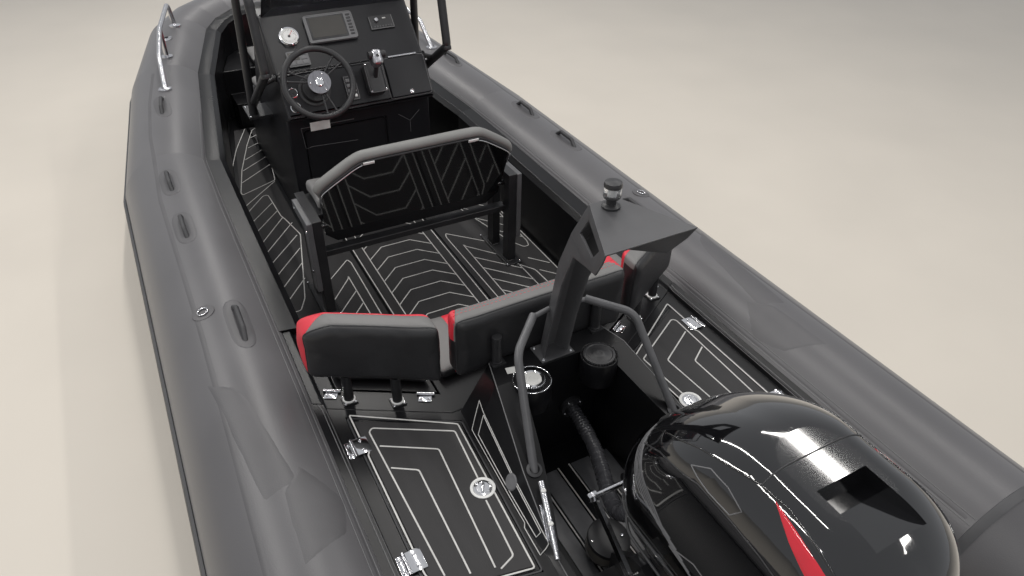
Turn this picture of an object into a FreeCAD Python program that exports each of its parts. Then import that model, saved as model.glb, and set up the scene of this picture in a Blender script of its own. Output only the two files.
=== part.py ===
import FreeCAD, Part
import math
import os
from FreeCAD import Vector

# Rigid inflatable boat of about 6 m with console, helm seat, aft bench, light mast and outboard engine.
# Frame: millimetres, +X to starboard, +Y to the bow, +Z up.
# The origin lies amidships on the centreline, at the waterline.

os.makedirs("parts", exist_ok=True)

# Inflatable tube
tube_radius = 250.0
tube_centre_x = 939.0
tube_centre_z = 326.0
tube_stern_y = -2960.0
cone_length = 250.0
cone_tip_radius = 110.0
sweep_start_y = -200.0
sweep_radius = 8150.0
sweep_angle = 15.66
sweep_steps = 2
bow_steps = 8
bow_rise = 230.0

# Hull and deck
sole_top_z = 150.0
sole_thickness = 30.0
wall_clearance = 18.0
inner_wall_offset = tube_radius + wall_clearance
deck_edge_angle = 44.0
keel_z = -330.0
hull_bottom_y = -2560.0
transom_thickness = 60.0
transom_top_z = 375.0
aft_deck_z = 480.0
aft_deck_end_y = -2800.0
deck_skin = 25.0
pad_thickness = 6.0

# Engine well between two coamings that run aft from a bulkhead
well_floor_z = 215.0
well_wall_y = -1930.0
well_half_width = 300.0
well_plan_side = [(165.0, well_wall_y), (165.0, -2000.0), (205.0, -2160.0), (252.0, -2320.0),
                  (well_half_width, -2450.0)]
bulkhead_front_y = -1840.0
bulkhead_top_z = 656.0
coaming_aft_z = 490.0
cap_pocket_radius = 64.0
cap_pocket_depth = 96.0

# Aft bench
bench_front_y = -1190.0
bench_depth = 320.0
bench_hinge_outer = (700.0, -1542.0)
bench_hinge_inner = (350.0, -1742.0)
bench_centre_half = 335.0
bench_lid_thickness = 20.0
bench_cushion_thickness = 60.0
backrest_bottom_z = 600.0
backrest_height = 250.0
backrest_aft_offset = 78.0
post_radius = 17.0
post_setback = 37.0

# Aft hatches
hatch_outer_x = 672.0
hatch_inner_fwd = (335.0, -1878.0)
hatch_inner_aft = (368.0, -2478.0)
hatch_outer_fwd_y = -1690.0
hatch_outer_aft_y = -2420.0
hatch_hinge_x = 690.0
lid_thickness = 18.0
lid_gap = 6.0
locker_depth = 270.0

# Console
console_half_width = 378.0
desk_low = (-25.0, 818.0)
desk_high = (89.0, 988.0)
dash_high = (313.0, 1200.0)
console_front_y = 760.0
seat_front_y = 1180.0
front_seat_z = 560.0
console_foot_y = 50.0

# Steering wheel
wheel_centre = (-220.0, -75.0, 985.0)
wheel_radius = 175.0
rim_radius = 15.0

# Helm seat
leg_x = 490.0
leg_size = 60.0
leg_thickness = 42.0
leg_rows_y = (-530.0, -700.0)
seat_bar_z = 650.0
crossbar_z = 454.0
crossbar_half = 15.0
bracket_thickness = 24.0
bracket_bottom_z = 296.0
bracket_post_y = (-735.0, -675.0)
bracket_front_y = -490.0
helm_cushion_y = (-660.0, -435.0)
helm_cushion_top_z = 715.0
helm_back_top = (-790.0, 905.0)
helm_back_bottom = (-640.0, 478.0)

# Light mast
mast_top_z = 1330.0
mast_plate = 6.0

# Outboard
tilt_axis_y = -2600.0
tilt_axis_z = 465.0
steer_axis_y = -2730.0
plate_z = -270.0
prop_axis_z = -470.0


def box(x0, x1, y0, y1, z0, z1):
    """Block between the given limits."""
    return Part.makeBox(x1 - x0, y1 - y0, z1 - z0, Vector(x0, y0, z0))


def polygon(points):
    """Closed wire through the points."""
    corners = [Vector(*p) for p in points]
    return Part.makePolygon(corners + corners[:1])


def prism_z(outline, z0, z1):
    """Solid with a plan outline of (x, y) points between two heights."""
    face = Part.Face(polygon([(x, y, z0) for x, y in outline]))
    return face.extrude(Vector(0, 0, z1 - z0))


def prism_x(outline, x0, x1):
    """Solid with a side outline of (y, z) points between two sides."""
    face = Part.Face(polygon([(x0, y, z) for y, z in outline]))
    return face.extrude(Vector(x1 - x0, 0, 0))


def prism_y(outline, y0, y1):
    """Solid with a cross outline of (x, z) points between two stations."""
    face = Part.Face(polygon([(x, y0, z) for x, z in outline]))
    return face.extrude(Vector(0, y1 - y0, 0))


def rod(start, end, radius):
    """Round bar between two points."""
    a = Vector(*start)
    b = Vector(*end)
    return Part.makeCylinder(radius, (b - a).Length, a, b - a)


def disc(centre, direction, radius, thickness):
    """Round plate that starts at a centre and grows along a direction."""
    return Part.makeCylinder(radius, thickness, Vector(*centre), Vector(*direction))


def joined(solids):
    """One shape from solids that meet."""
    result = solids[0]
    for solid in solids[1:]:
        result = result.fuse(solid)
    return result.removeSplitter()


def largest(shape):
    """The biggest solid of a shape that was cut apart."""
    return max(shape.Solids, key=lambda solid: solid.Volume)


def mirrored(shape):
    """The same shape on the other side of the centreline."""
    return shape.mirror(Vector(0, 0, 0), Vector(1, 0, 0))


def both_sides(shape):
    """A shape and its mirror image, not touching, as one compound."""
    return Part.makeCompound([shape, mirrored(shape)])


def bent_tube(points, radius, bend):
    """Round tube along straight runs with tangent arcs of one bend radius at the corners."""
    p = [Vector(*q) for q in points]
    edges = []
    last = p[0]
    for before, corner, after in zip(p, p[1:], p[2:]):
        u = (before - corner).normalize()
        v = (after - corner).normalize()
        half = u.getAngle(v) / 2
        reach = bend / math.tan(half)
        start = corner + u * reach
        end = corner + v * reach
        bisector = (u + v).normalize()
        centre = corner + bisector * (bend / math.sin(half))
        middle = centre - bisector * bend
        edges.append(Part.makeLine(last, start))
        edges.append(Part.Arc(start, middle, end).toShape())
        last = end
    edges.append(Part.makeLine(last, p[-1]))
    path = Part.Wire(edges)
    profile = Part.Wire(Part.makeCircle(radius, p[0], p[1] - p[0]))
    return path.makePipeShell([profile], True, False, 0)


def write(name, shape):
    """Saves one sub-part under its node's name."""
    shape.exportStep("parts/%s.step" % name)


# Tube centreline: straight along the side, a long sweep inwards, then a round bow.
# It is a chain of straight runs with mitred joints, as the panels of the real tube are.
sweep_turn = math.radians(sweep_angle)
sweep_end_x = tube_centre_x - sweep_radius * (1 - math.cos(sweep_turn))
sweep_end_y = sweep_start_y + sweep_radius * math.sin(sweep_turn)
bow_radius = sweep_end_x / math.cos(sweep_turn)
bow_centre_y = sweep_end_y - bow_radius * math.sin(sweep_turn)
bow_y = bow_centre_y + bow_radius


def rise_at(y):
    """Height that the tube has gained over its straight part."""
    share = max(0.0, (y - sweep_start_y) / (bow_y - sweep_start_y))
    return bow_rise * share * share


def arc_corners(cx, cy, radius, start, end, steps):
    """Corners of the straight runs that touch an arc; angles from +Y towards +X."""
    step = (end - start) / steps
    reach = radius / math.cos(step / 2)
    angles = [start + step * (i + 0.5) for i in range(steps)]
    return [(cx - reach * math.cos(a), cy + reach * math.sin(a)) for a in angles]


def tube_corners(inset=0.0):
    """Plan corners of the whole tube line, from port stern round the bow, moved inboard."""
    sweep = arc_corners(sweep_radius - tube_centre_x, sweep_start_y,
                        sweep_radius - inset, 0.0, sweep_turn, sweep_steps)
    port = [(-tube_centre_x + inset, tube_stern_y)] + sweep
    bow = arc_corners(0.0, bow_centre_y, bow_radius - inset,
                      sweep_turn, math.pi - sweep_turn, bow_steps)
    starboard = [(-x, y) for x, y in reversed(port)]
    return port + bow + starboard


centreline = [(x, y, tube_centre_z + rise_at(y)) for x, y in tube_corners()]


def mitre_at(index):
    """Outboard direction in plan at a corner, lengthened so that mitred runs keep their width."""
    here = centreline[index]
    directions = []
    for a, b in ((index - 1, index), (index, index + 1)):
        if a >= 0 and b < len(centreline):
            run = Vector(*centreline[b]) - Vector(*centreline[a])
            run.z = 0
            directions.append(run.normalize())
    forward = (directions[0] + directions[-1]).normalize()
    outboard = Vector(-forward.y, forward.x, 0)
    return Vector(*here), outboard / directions[0].dot(forward)


def placed_section(index, profile):
    """Wire of a profile's (outboard, up) points at a corner of the tube line."""
    origin, outboard = mitre_at(index)
    return polygon([tuple(origin + outboard * u + Vector(0, 0, v)) for u, v in profile])


def along_tube(profile, first=0, last=None):
    """Solid with one cross profile along the mitred tube line."""
    last = len(centreline) - 1 if last is None else last
    sections = [placed_section(i, profile) for i in range(first, last + 1)]
    return Part.makeLoft(sections, True, True)


def tube_section(index, radius):
    """Round section of the tube in the mitre plane of a corner."""
    origin, outboard = mitre_at(index)
    place = FreeCAD.Matrix(outboard.x, 0, 0, origin.x,
                           outboard.y, 0, 0, origin.y,
                           0, 0, 1, origin.z,
                           0, 0, 0, 1)
    forward = Vector(-outboard.y, outboard.x, 0)
    place.A12 = forward.x
    place.A22 = forward.y
    circle = Part.Wire(Part.makeCircle(radius, Vector(0, 0, 0), Vector(0, 1, 0)))
    return circle.transformGeometry(place)


def tube_run(first, last, radius=tube_radius):
    """Round tube between two corners of the tube line."""
    sections = [tube_section(i, radius) for i in range(first, last + 1)]
    return Part.makeLoft(sections, True, True)


# Hull: V bottom with a flat chine, whose upper edge runs along the underside of the tube.
# Columns: station, keel z, chine x, chine z, upper edge x, upper edge z, deck x, deck z
hull_sections = [
    (hull_bottom_y, keel_z, 745.0, -12.0, 800.0, 100.0, 671.0, 120.0),
    (358.0, keel_z, 745.0, -12.0, 800.0, 108.0, 671.0, 120.0),
    (1463.0, -240.0, 590.0, 58.0, 657.0, 196.0, 521.0, 205.0),
    (2104.0, -40.0, 380.0, 180.0, 477.0, 284.0, 341.0, 292.0),
    (2420.0, 190.0, 110.0, 285.0, 180.0, 332.0, 120.0, 336.0),
]
chine_flat = 42.0


def hull_outline(row):
    """Closed cross outline of the hull at one station."""
    y, keel, chine_x, chine_z, edge_x, edge_z, deck_x, deck_z = row
    side = [(chine_x, chine_z), (chine_x + chine_flat, chine_z + 4), (edge_x, edge_z), (deck_x, deck_z)]
    other = [(-x, z) for x, z in reversed(side)]
    return polygon([(x, y, z) for x, z in [(0, keel)] + side + other])


tube_port = tube_run(0, 2)
tube_starboard = mirrored(tube_port)
tube_bow = tube_run(2, len(centreline) - 3)
tubes = [tube_port, tube_starboard, tube_bow]

# Deck liner: upright side walls whose tops turn outwards over the tube, round a flat sole
edge_angle = math.radians(deck_edge_angle)
edge_out = -tube_radius * math.sin(edge_angle)
edge_up = tube_radius * math.cos(edge_angle)
wall_out = -inner_wall_offset
wall_x = tube_centre_x - inner_wall_offset
deep = -520.0
wall_back = -150.0
sole_bottom_z = sole_top_z - sole_thickness

inner_plan = tube_corners(inner_wall_offset)
cockpit_room = prism_z(inner_plan, sole_bottom_z, 1000.0)

above_hull = []
for station, keel, chine_x, chine_z, edge_x, edge_z, deck_x, deck_z in hull_sections:
    side = [(chine_x, chine_z), (edge_x, edge_z), (edge_x, 1000.0)]
    outline = [(0, keel)] + side + [(-x, z) for x, z in reversed(side)]
    above_hull.append(polygon([(x, station, z) for x, z in outline]))
above_hull = Part.makeLoft(above_hull, True, True)
hull = Part.makeLoft([hull_outline(row) for row in hull_sections], True, True)
# Spray rails: shares of the way from keel to chine, and their width at each station
rail_shares = (0.36, 0.66)
rail_widths = (42.0, 42.0, 10.0)


def spray_rail_section(row, share, width):
    """Triangle of a spray rail on the hull's bottom at one station."""
    y, keel, chine_x, chine_z = row[:4]
    slope = (chine_z - keel) / chine_x
    x0 = chine_x * share
    x1 = x0 + width
    return polygon([(x0, y, keel + slope * x0 + 2), (x1, y, keel + slope * x1 + 2), (x1, y, keel + slope * x0 - 3)])


for share in rail_shares:
    sections = [spray_rail_section(row, share, width) for row, width in zip(hull_sections, rail_widths)]
    spray_rail = Part.makeLoft(sections, True, True)
    hull = joined([hull, spray_rail, mirrored(spray_rail)])
hull = hull.cut(cockpit_room)
for tube in tubes:
    hull = hull.cut(tube)
bends = [y for x, y in inner_plan[1:4]]


def lengths(shape, z0, z1):
    """Solids of a shape between two heights, divided where the side walls bend, so that each is simple."""
    parts = []
    for y0, y1 in zip([-3300.0] + bends, bends):
        for x0, x1 in ((-1500, 0), (0, 1500)):
            parts += shape.common(box(x0, x1, y0, y1, z0, z1)).Solids
    return parts + shape.common(box(-1500, 1500, bends[-1], 3300, z0, z1)).Solids


hull_bottom = hull.common(box(-1500, 1500, -3300, 3300, -700, sole_bottom_z))
write("hull", Part.makeCompound(hull_bottom.Solids + lengths(hull, sole_bottom_z, 1500)))

walls = along_tube([(edge_out, edge_up), (wall_out + 26, edge_up - 8), (wall_out, edge_up - 30),
                    (wall_out, deep), (wall_back, deep), (wall_back, edge_up)])
walls = walls.common(above_hull)
walls = walls.cut(box(-1500, 1500, -3200, 3200, -700, 90))
walls = walls.cut(box(-1500, 1500, -3200, bench_front_y, -700, 1500))
for solid in tubes + [hull]:
    walls = walls.cut(solid)
sole = prism_z(inner_plan, sole_bottom_z, sole_top_z)
sole = sole.common(box(-1500, 1500, hull_bottom_y, 3000, 0, 400))
write("deck_liner", Part.makeCompound([sole] + lengths(walls, -700, 1500)))

write("tube_port", tube_port)
write("tube_starboard", tube_starboard)
write("tube_bow", tube_bow)

tube_cone_port = Part.makeCone(tube_radius, cone_tip_radius, cone_length,
                               Vector(-tube_centre_x, tube_stern_y, tube_centre_z), Vector(0, -1, 0))
write("tube_cone_port", tube_cone_port)
write("tube_cone_starboard", mirrored(tube_cone_port))

# Rub strake along the widest line of the tube
strake_half = 34.0
strake_out = 16.0
strake = along_tube([(tube_radius - 20, -strake_half), (tube_radius + strake_out - 6, -strake_half),
                     (tube_radius + strake_out, -8), (tube_radius + strake_out, 8),
                     (tube_radius + strake_out - 6, strake_half), (tube_radius - 20, strake_half)])
for tube in tubes:
    strake = strake.cut(tube)
write("rub_strake", strake)


# Cross outline of the raised aft moulding, out to a lip that lies against the tube
deck_lip = 26.0
lip_x = 716.0
deck_side = [(wall_x, sole_top_z), (wall_x, 80.0), (tube_centre_x - 120, 80.0),
             (tube_centre_x - 120, aft_deck_z + deck_lip), (lip_x + 8, aft_deck_z + deck_lip - 6),
             (lip_x, aft_deck_z)]
deck_cross = deck_side + [(-x, z) for x, z in reversed(deck_side)]


def aft_block(plan, y0, y1):
    """Raised moulding over a plan outline, trimmed to the tube and to the hull below it."""
    solid = prism_y(deck_cross, y0, y1).common(prism_z(plan, 0, 1000))
    solid = solid.cut(tube_port).cut(tube_starboard).cut(hull)
    return largest(solid)


# Aft bench: a V of two lidded lockers with a closed box between them
hinge_run = Vector(bench_hinge_inner[0] - bench_hinge_outer[0], bench_hinge_inner[1] - bench_hinge_outer[1], 0)
hinge_slope = hinge_run.y / hinge_run.x
hinge_across = math.hypot(1, hinge_slope)


def hinge_line_y(x, aft=0.0):
    """Station of the starboard bench hinge line, moved aft square to it."""
    return bench_hinge_outer[1] + (x - bench_hinge_outer[0]) * hinge_slope - aft * hinge_across


bench_back = 80.0
centre_front_y = hinge_line_y(bench_hinge_inner[0], -bench_depth)
bench_plan_side = [(bench_hinge_inner[0], centre_front_y), (wall_x, bench_front_y), (800.0, bench_front_y),
                   (800.0, hinge_line_y(800.0, bench_back)),
                   (bench_hinge_inner[0], hinge_line_y(bench_hinge_inner[0], bench_back))]
bench_plan = bench_plan_side + [(-x, y) for x, y in reversed(bench_plan_side)]
lid_x = (bench_hinge_inner[0], bench_hinge_outer[0] - 36)
lid_lines = (-10.0, 34.0 - bench_depth)
lid_plan = [(lid_x[1], hinge_line_y(lid_x[1], lid_lines[0])), (lid_x[0], hinge_line_y(lid_x[0], lid_lines[0])),
            (lid_x[0], hinge_line_y(lid_x[0], lid_lines[1])), (lid_x[1], hinge_line_y(lid_x[1], lid_lines[1]))]


def shrunk(outline, by):
    """Plan outline moved inwards all round."""
    face = Part.Face(polygon([(x, y, 0) for x, y in outline]))
    wire = face.makeOffset2D(-by, 2).OuterWire
    return [(v.Point.x, v.Point.y) for v in wire.OrderedVertexes]


bench = aft_block(bench_plan, -2100, bench_front_y)
for side in (1, -1):
    recess = prism_z([(side * x, y) for x, y in lid_plan], aft_deck_z - bench_lid_thickness, 1000)
    room = prism_z([(side * x, y) for x, y in shrunk(lid_plan, 25)], sole_top_z + deck_skin, 1000)
    bench = bench.cut(recess).cut(room)
write("bench_base", bench)

bench_lid = prism_z(shrunk(lid_plan, lid_gap), aft_deck_z - bench_lid_thickness + 0.3, aft_deck_z)
cushion_x = (bench_hinge_inner[0] + 4, 660.0)
cushion_lines = (-42.0, 4.0 - bench_depth)
cushion_plan = [(cushion_x[1], hinge_line_y(cushion_x[1], cushion_lines[0])),
                (cushion_x[0], hinge_line_y(cushion_x[0], cushion_lines[0])),
                (cushion_x[0], hinge_line_y(cushion_x[0], cushion_lines[1])),
                (cushion_x[1], hinge_line_y(cushion_x[1], cushion_lines[1]))]
bench_cushion = prism_z(cushion_plan, aft_deck_z, aft_deck_z + bench_cushion_thickness)
write("bench_lid_starboard", bench_lid)
write("bench_lid_port", mirrored(bench_lid))
write("bench_cushion_starboard", bench_cushion)
write("bench_cushion_port", mirrored(bench_cushion))
centre_cushion = box(-bench_centre_half, bench_centre_half, -1690, centre_front_y - 4,
                     aft_deck_z, aft_deck_z + bench_cushion_thickness)
write("bench_cushion_centre", centre_cushion)

# Aft deck with its two lockers and the engine well
deck_plan_side = [(800.0, aft_deck_end_y), (800.0, hinge_line_y(800.0, bench_back)), bench_plan_side[-1]]
deck_plan = deck_plan_side + [(-x, y) for x, y in reversed(deck_plan_side)]
aft_deck = aft_block(deck_plan, aft_deck_end_y, -1500)
hatch_plan = [(hatch_outer_x, hatch_outer_fwd_y), hatch_inner_fwd, hatch_inner_aft,
              (hatch_outer_x, hatch_outer_aft_y)]
platform_under_z = 300.0
hatch_lean = (hatch_inner_aft[0] - hatch_inner_fwd[0]) / (hatch_inner_aft[1] - hatch_inner_fwd[1])
# Columns: station, half width of the top, height of the top
coaming_rows = [(bulkhead_front_y, 215.0, bulkhead_top_z), (-1950.0, 242.0, bulkhead_top_z),
                (-2222.0, 292.0, 566.0), (-2450.0, 318.0, coaming_aft_z), (hull_bottom_y, 324.0, coaming_aft_z)]


def coaming_section(y, top_half, top_z):
    """Cross outline of both coamings in one, whose flanks slope down to the hatches."""
    foot_half = hatch_inner_fwd[0] + (y - hatch_inner_fwd[1]) * hatch_lean
    outline = [(-foot_half, aft_deck_z - 20), (foot_half, aft_deck_z - 20), (top_half, top_z), (-top_half, top_z)]
    return polygon([(x, y, z) for x, z in outline])


coamings = Part.makeLoft([coaming_section(*row) for row in coaming_rows], True, True)
well_side = well_plan_side + [(well_half_width, hull_bottom_y + transom_thickness)]
well_plan = well_side + [(-x, y) for x, y in reversed(well_side)]
cap_centres = [(-128.0, -1973.0), (128.0, -1973.0)]
lobe_foot_z = bulkhead_top_z - cap_pocket_depth
lobes = [disc((x, y, lobe_foot_z), (0, 0, 1), cap_pocket_radius, cap_pocket_depth) for x, y in cap_centres]
pockets = [disc((x, y, bulkhead_top_z - 8), (0, 0, 1), cap_pocket_radius - 6, 20) for x, y in cap_centres]
aft_deck = joined([aft_deck, coamings]).cut(prism_z(well_plan, well_floor_z, 1000.0))
aft_deck = aft_deck.cut(box(-well_half_width, well_half_width, hull_bottom_y - 1,
                            hull_bottom_y + transom_thickness + 1, transom_top_z, 1000.0))
aft_deck = joined([aft_deck] + lobes).cut(pockets[0]).cut(pockets[1])
aft_deck = aft_deck.cut(box(-well_half_width, well_half_width, -3100, hull_bottom_y, 0, 1000.0))
aft_deck = aft_deck.cut(box(-1000, 1000, -3100, hull_bottom_y, 0, platform_under_z))
for side in (1, -1):
    recess = prism_z([(side * x, y) for x, y in hatch_plan], aft_deck_z - lid_thickness - 2, 1000)
    room = prism_z([(side * x, y) for x, y in shrunk(hatch_plan, 28)], aft_deck_z - locker_depth, 1000)
    room = room.common(box(-1000, 1000, hull_bottom_y + 30, -1000, 0, 1000))
    aft_deck = aft_deck.cut(recess).cut(room)
write("aft_deck", aft_deck)

hatch_lid = prism_z(shrunk(hatch_plan, lid_gap), aft_deck_z - lid_thickness - 1.7, aft_deck_z)
hatch_pad = prism_z(shrunk(hatch_plan, lid_gap + 14), aft_deck_z, aft_deck_z + pad_thickness)
write("hatch_lid_starboard", hatch_lid)
write("hatch_lid_port", mirrored(hatch_lid))
write("hatch_pad_starboard", hatch_pad)
write("hatch_pad_port", mirrored(hatch_pad))

# Bow locker between the bow walls, with a lid, a cushion and a lower step
bow_locker_y = 1700.0
bow_locker_z = 480.0
bow_step_z = 320.0
bow_step_y = 1500.0
bow_lid_y = (1740.0, 2040.0)
bow_lid_half = 270.0
bow_plan = tube_corners(inner_wall_offset)
bow_room = prism_z(bow_plan, sole_top_z, bow_locker_z)
bow_locker = bow_room.common(box(-900, 900, bow_locker_y, 3000, 0, 1000))
bow_step = bow_room.common(box(-420, 420, bow_step_y, bow_locker_y, 0, bow_step_z))
bow_locker = joined([bow_locker, bow_step])
lid_box = (-bow_lid_half, bow_lid_half, bow_lid_y[0], bow_lid_y[1])
bow_locker = bow_locker.cut(box(*lid_box, bow_locker_z - bench_lid_thickness, 1000))
bow_locker = bow_locker.cut(box(-bow_lid_half + 25, bow_lid_half - 25, bow_lid_y[0] + 25, bow_lid_y[1] - 25,
                                sole_top_z + deck_skin, 1000))
write("bow_locker", bow_locker)
bow_lid = box(-bow_lid_half + lid_gap, bow_lid_half - lid_gap, bow_lid_y[0] + lid_gap, bow_lid_y[1] - lid_gap,
              bow_locker_z - bench_lid_thickness + 0.3, bow_locker_z)
write("bow_lid", bow_lid)
bow_cushion = box(-bow_lid_half + 30, bow_lid_half - 30, bow_lid_y[0] - 20, bow_lid_y[1] - 40,
                  bow_locker_z, bow_locker_z + bench_cushion_thickness)
write("bow_cushion", bow_cushion)

# Floor pads on the sole: a centre panel and one long panel on each side
pad_gap = 12.0
centre_pad_half = 225.0
pad_aft_y = centre_front_y + 15
pad_aft_side_y = bench_front_y + 22
centre_pad = box(-centre_pad_half, centre_pad_half, pad_aft_y, console_foot_y - 10, sole_top_z,
                 sole_top_z + pad_thickness)
side_pad = prism_z([(centre_pad_half + pad_gap, pad_aft_y), (bench_hinge_inner[0] - 4, pad_aft_y),
                    (655, pad_aft_side_y), (655, 360), (480, 1480),
                    (400, 1480), (400, console_foot_y), (centre_pad_half + pad_gap, console_foot_y - 10)],
                   sole_top_z, sole_top_z + pad_thickness)
bow_pad = box(-380, 380, 1225, 1480, sole_top_z, sole_top_z + pad_thickness)
write("floor_pads", Part.makeCompound([centre_pad, side_pad, mirrored(side_pad), bow_pad]))

# Console: one moulding with a sloping desk, a dash above it and a seat on its front
console_profile = [(console_foot_y, sole_top_z), (console_foot_y, 770.0), (desk_low[0], 796.0), desk_low,
                   desk_high, (desk_high[0] + 16, desk_high[1] + 2), dash_high,
                   (dash_high[0] + 110, dash_high[1] + 12), (dash_high[0] + 150, dash_high[1] - 10),
                   (console_front_y, 740.0), (console_front_y + 20, front_seat_z),
                   (seat_front_y, front_seat_z), (seat_front_y + 25, front_seat_z - 40),
                   (seat_front_y + 25, sole_top_z)]
desk_run = Vector(0, desk_high[0] - desk_low[0], desk_high[1] - desk_low[1])
desk_length = desk_run.Length
desk_run = desk_run.normalize()
desk_in = Vector(0, desk_run.z, -desk_run.y)


def on_desk(x, along, depth):
    """Point on the desk: offset from the centreline, distance up the slope, depth into the console."""
    return Vector(x, desk_low[0], desk_low[1]) + desk_run * along + desk_in * depth


def desk_block(x0, x1, along0, along1, depth0, depth1):
    """Block that lies square to the desk; a negative depth stands proud of it."""
    corners = [on_desk(x0, along0, depth0), on_desk(x0, along1, depth0),
               on_desk(x0, along1, depth1), on_desk(x0, along0, depth1)]
    return Part.Face(Part.makePolygon(corners + corners[:1])).extrude(Vector(x1 - x0, 0, 0))


dash_base = Vector(0, desk_high[0] + 16, desk_high[1] + 2)
dash_run = Vector(0, dash_high[0], dash_high[1]) - dash_base
dash_run = dash_run.normalize()
dash_in = Vector(0, dash_run.z, -dash_run.y)


def on_dash(x, along, depth):
    """Point on the dash face above the desk."""
    return Vector(x, 0, 0) + dash_base + dash_run * along + dash_in * depth


def dash_block(x0, x1, along0, along1, depth0, depth1):
    """Block that lies square to the dash; a negative depth stands proud of it."""
    corners = [on_dash(x0, along0, depth0), on_dash(x0, along1, depth0),
               on_dash(x0, along1, depth1), on_dash(x0, along0, depth1)]
    return Part.Face(Part.makePolygon(corners + corners[:1])).extrude(Vector(x1 - x0, 0, 0))


glove_x = (150.0, 365.0)
glove_rim = 16.0
glove_depth = 150.0
console = prism_x(console_profile, -console_half_width, console_half_width)
console = console.cut(desk_block(glove_x[0] + glove_rim, glove_x[1] - glove_rim, glove_rim,
                                 desk_length - glove_rim, -1, glove_depth))
console = console.cut(box(-300, 130, console_foot_y - 80, console_foot_y + 12, 430, 700))
write("console_body", console)
glovebox_lid = desk_block(*glove_x, 4, desk_length - 4, -14.3, -0.3)
write("glovebox_lid", glovebox_lid)

# Windscreen: a front pane with two swept side panes
glass_thickness = 6.0


def screen_outline(half_back, back_y, half_front, front_y, z):
    """Plan outline of the windscreen sheet at one height, with its inner side offset."""
    t = glass_thickness
    outer = [(-half_back, back_y), (-half_front, front_y), (half_front, front_y), (half_back, back_y)]
    inner = [(half_back - t, back_y), (half_front - t, front_y - t), (-half_front + t, front_y - t),
             (-half_back + t, back_y)]
    return polygon([(x, y, z) for x, y in outer + inner])


screen_foot_z = dash_high[1] - 20
screen_top_z = 1520.0
windscreen = Part.makeLoft([screen_outline(362, 325, 300, 415, screen_foot_z),
                            screen_outline(330, 190, 268, 290, screen_top_z)], True, True)
windscreen = windscreen.cut(console)
write("windscreen", windscreen)

# Hand-rail frame round the console: a hoop over the windscreen and a grab bar on each side
frame_radius = 20.0
hoop_top_z = 1700.0
hoop = bent_tube([(-470, 450, 672), (-440, 330, hoop_top_z), (440, 330, hoop_top_z), (470, 450, 672)],
                 frame_radius, 110)
grab_radius = 21.0
grab = bent_tube([(-455, 540, 677), (-450, -50, 1054), (-450, 20, 1363), (-444, 330, 1585)], grab_radius, 34)
stub = rod((-console_half_width + 4, 122, 970), (-450, 134, 938), 13.0)
foot_plate = box(-500, -console_half_width, 400, 575, 664, 676)
side_frame = joined([grab, stub])
console_frame = joined([hoop, side_frame, mirrored(side_frame), foot_plate, mirrored(foot_plate)]).cut(console)
write("console_frame", console_frame)

# Dash instruments; columns: half-width centre x, centre along the dash, width, height, stand-out
plotter = dash_block(-175, 70, 118, 262, -22, -0.3)
plotter = plotter.makeFillet(8, plotter.Edges)
write("chart_plotter", plotter)
gauge_centre = on_dash(-262, 175, 0)
gauge = disc(tuple(gauge_centre - dash_in * 12), tuple(dash_in), 48.0, 11.7)
display = dash_block(-300, -205, 22, 92, -10, -0.3)
socket_panel = dash_block(150, 275, 150, 222, -8, -0.3)
switch_panel = desk_block(-72, -12, 30, 150, -10, -0.3)
write("dash_panels", Part.makeCompound([gauge, display, socket_panel, switch_panel]))

# Throttle: a binnacle on the desk with its lever
binnacle = desk_block(30, 120, 35, 185, -70, -0.3)
binnacle = binnacle.makeFillet(18, [e for e in binnacle.Edges if abs(e.tangentAt(e.FirstParameter).x) < 0.5])
lever_foot = on_desk(75, 110, -60)
lever_head = on_desk(75, 185, -190)
lever = rod(tuple(lever_foot), tuple(lever_head), 11.0)
handle = rod(tuple(lever_head - Vector(45, 0, 0)), tuple(lever_head + Vector(30, 0, 0)), 19.0)
write("throttle", joined([binnacle, lever, handle]))

# Steering: a hub that stands on the desk, and the wheel on its own shaft
wheel_axis = desk_in * -1
wheel_middle = Vector(*wheel_centre)
hub_reach = abs((wheel_middle - on_desk(wheel_centre[0], 0, 0)).dot(desk_in))
hub_foot = wheel_middle + desk_in * hub_reach
hub_gap = 6.0
bezel = disc(tuple(hub_foot - desk_in * 45), tuple(desk_in), 62.0, 44.7)
column = disc(tuple(wheel_middle + desk_in * (16 + hub_gap)), tuple(desk_in), 30.0, hub_reach - 16 - hub_gap - 30)
shaft_radius = 11.0
shaft_bore = disc(tuple(wheel_middle), tuple(desk_in), shaft_radius + 0.1, 80.0)
write("steering_hub", joined([bezel, column]).cut(shaft_bore))


def wheel_point(radius, angle, lift=0.0):
    """Point on the steering wheel, by angle from its top."""
    across = Vector(1, 0, 0) * (radius * math.sin(angle))
    return wheel_middle + across + desk_run * (radius * math.cos(angle)) + wheel_axis * lift


rim = Part.makeTorus(wheel_radius - rim_radius, rim_radius, wheel_middle, wheel_axis)
wheel_boss = disc(tuple(wheel_middle + desk_in * 16), tuple(wheel_axis), 40.0, 30.0)
spokes = []
for middle in (-70.0, 50.0, 170.0):
    for spread in (-9.0, 9.0):
        angle = math.radians(middle + spread)
        spokes.append(rod(tuple(wheel_point(30, angle)), tuple(wheel_point(wheel_radius - rim_radius, angle)), 4.5))
wheel_shaft = disc(tuple(wheel_middle + desk_in * 10), tuple(desk_in), shaft_radius, 62.0)
write("steering_wheel", joined([rim, wheel_boss, wheel_shaft] + spokes))

# Front console seat
front_cushion = box(-console_half_width + 20, console_half_width - 20, console_front_y + 40, seat_front_y,
                    front_seat_z, front_seat_z + 70)
write("console_cushion", front_cushion)

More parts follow.
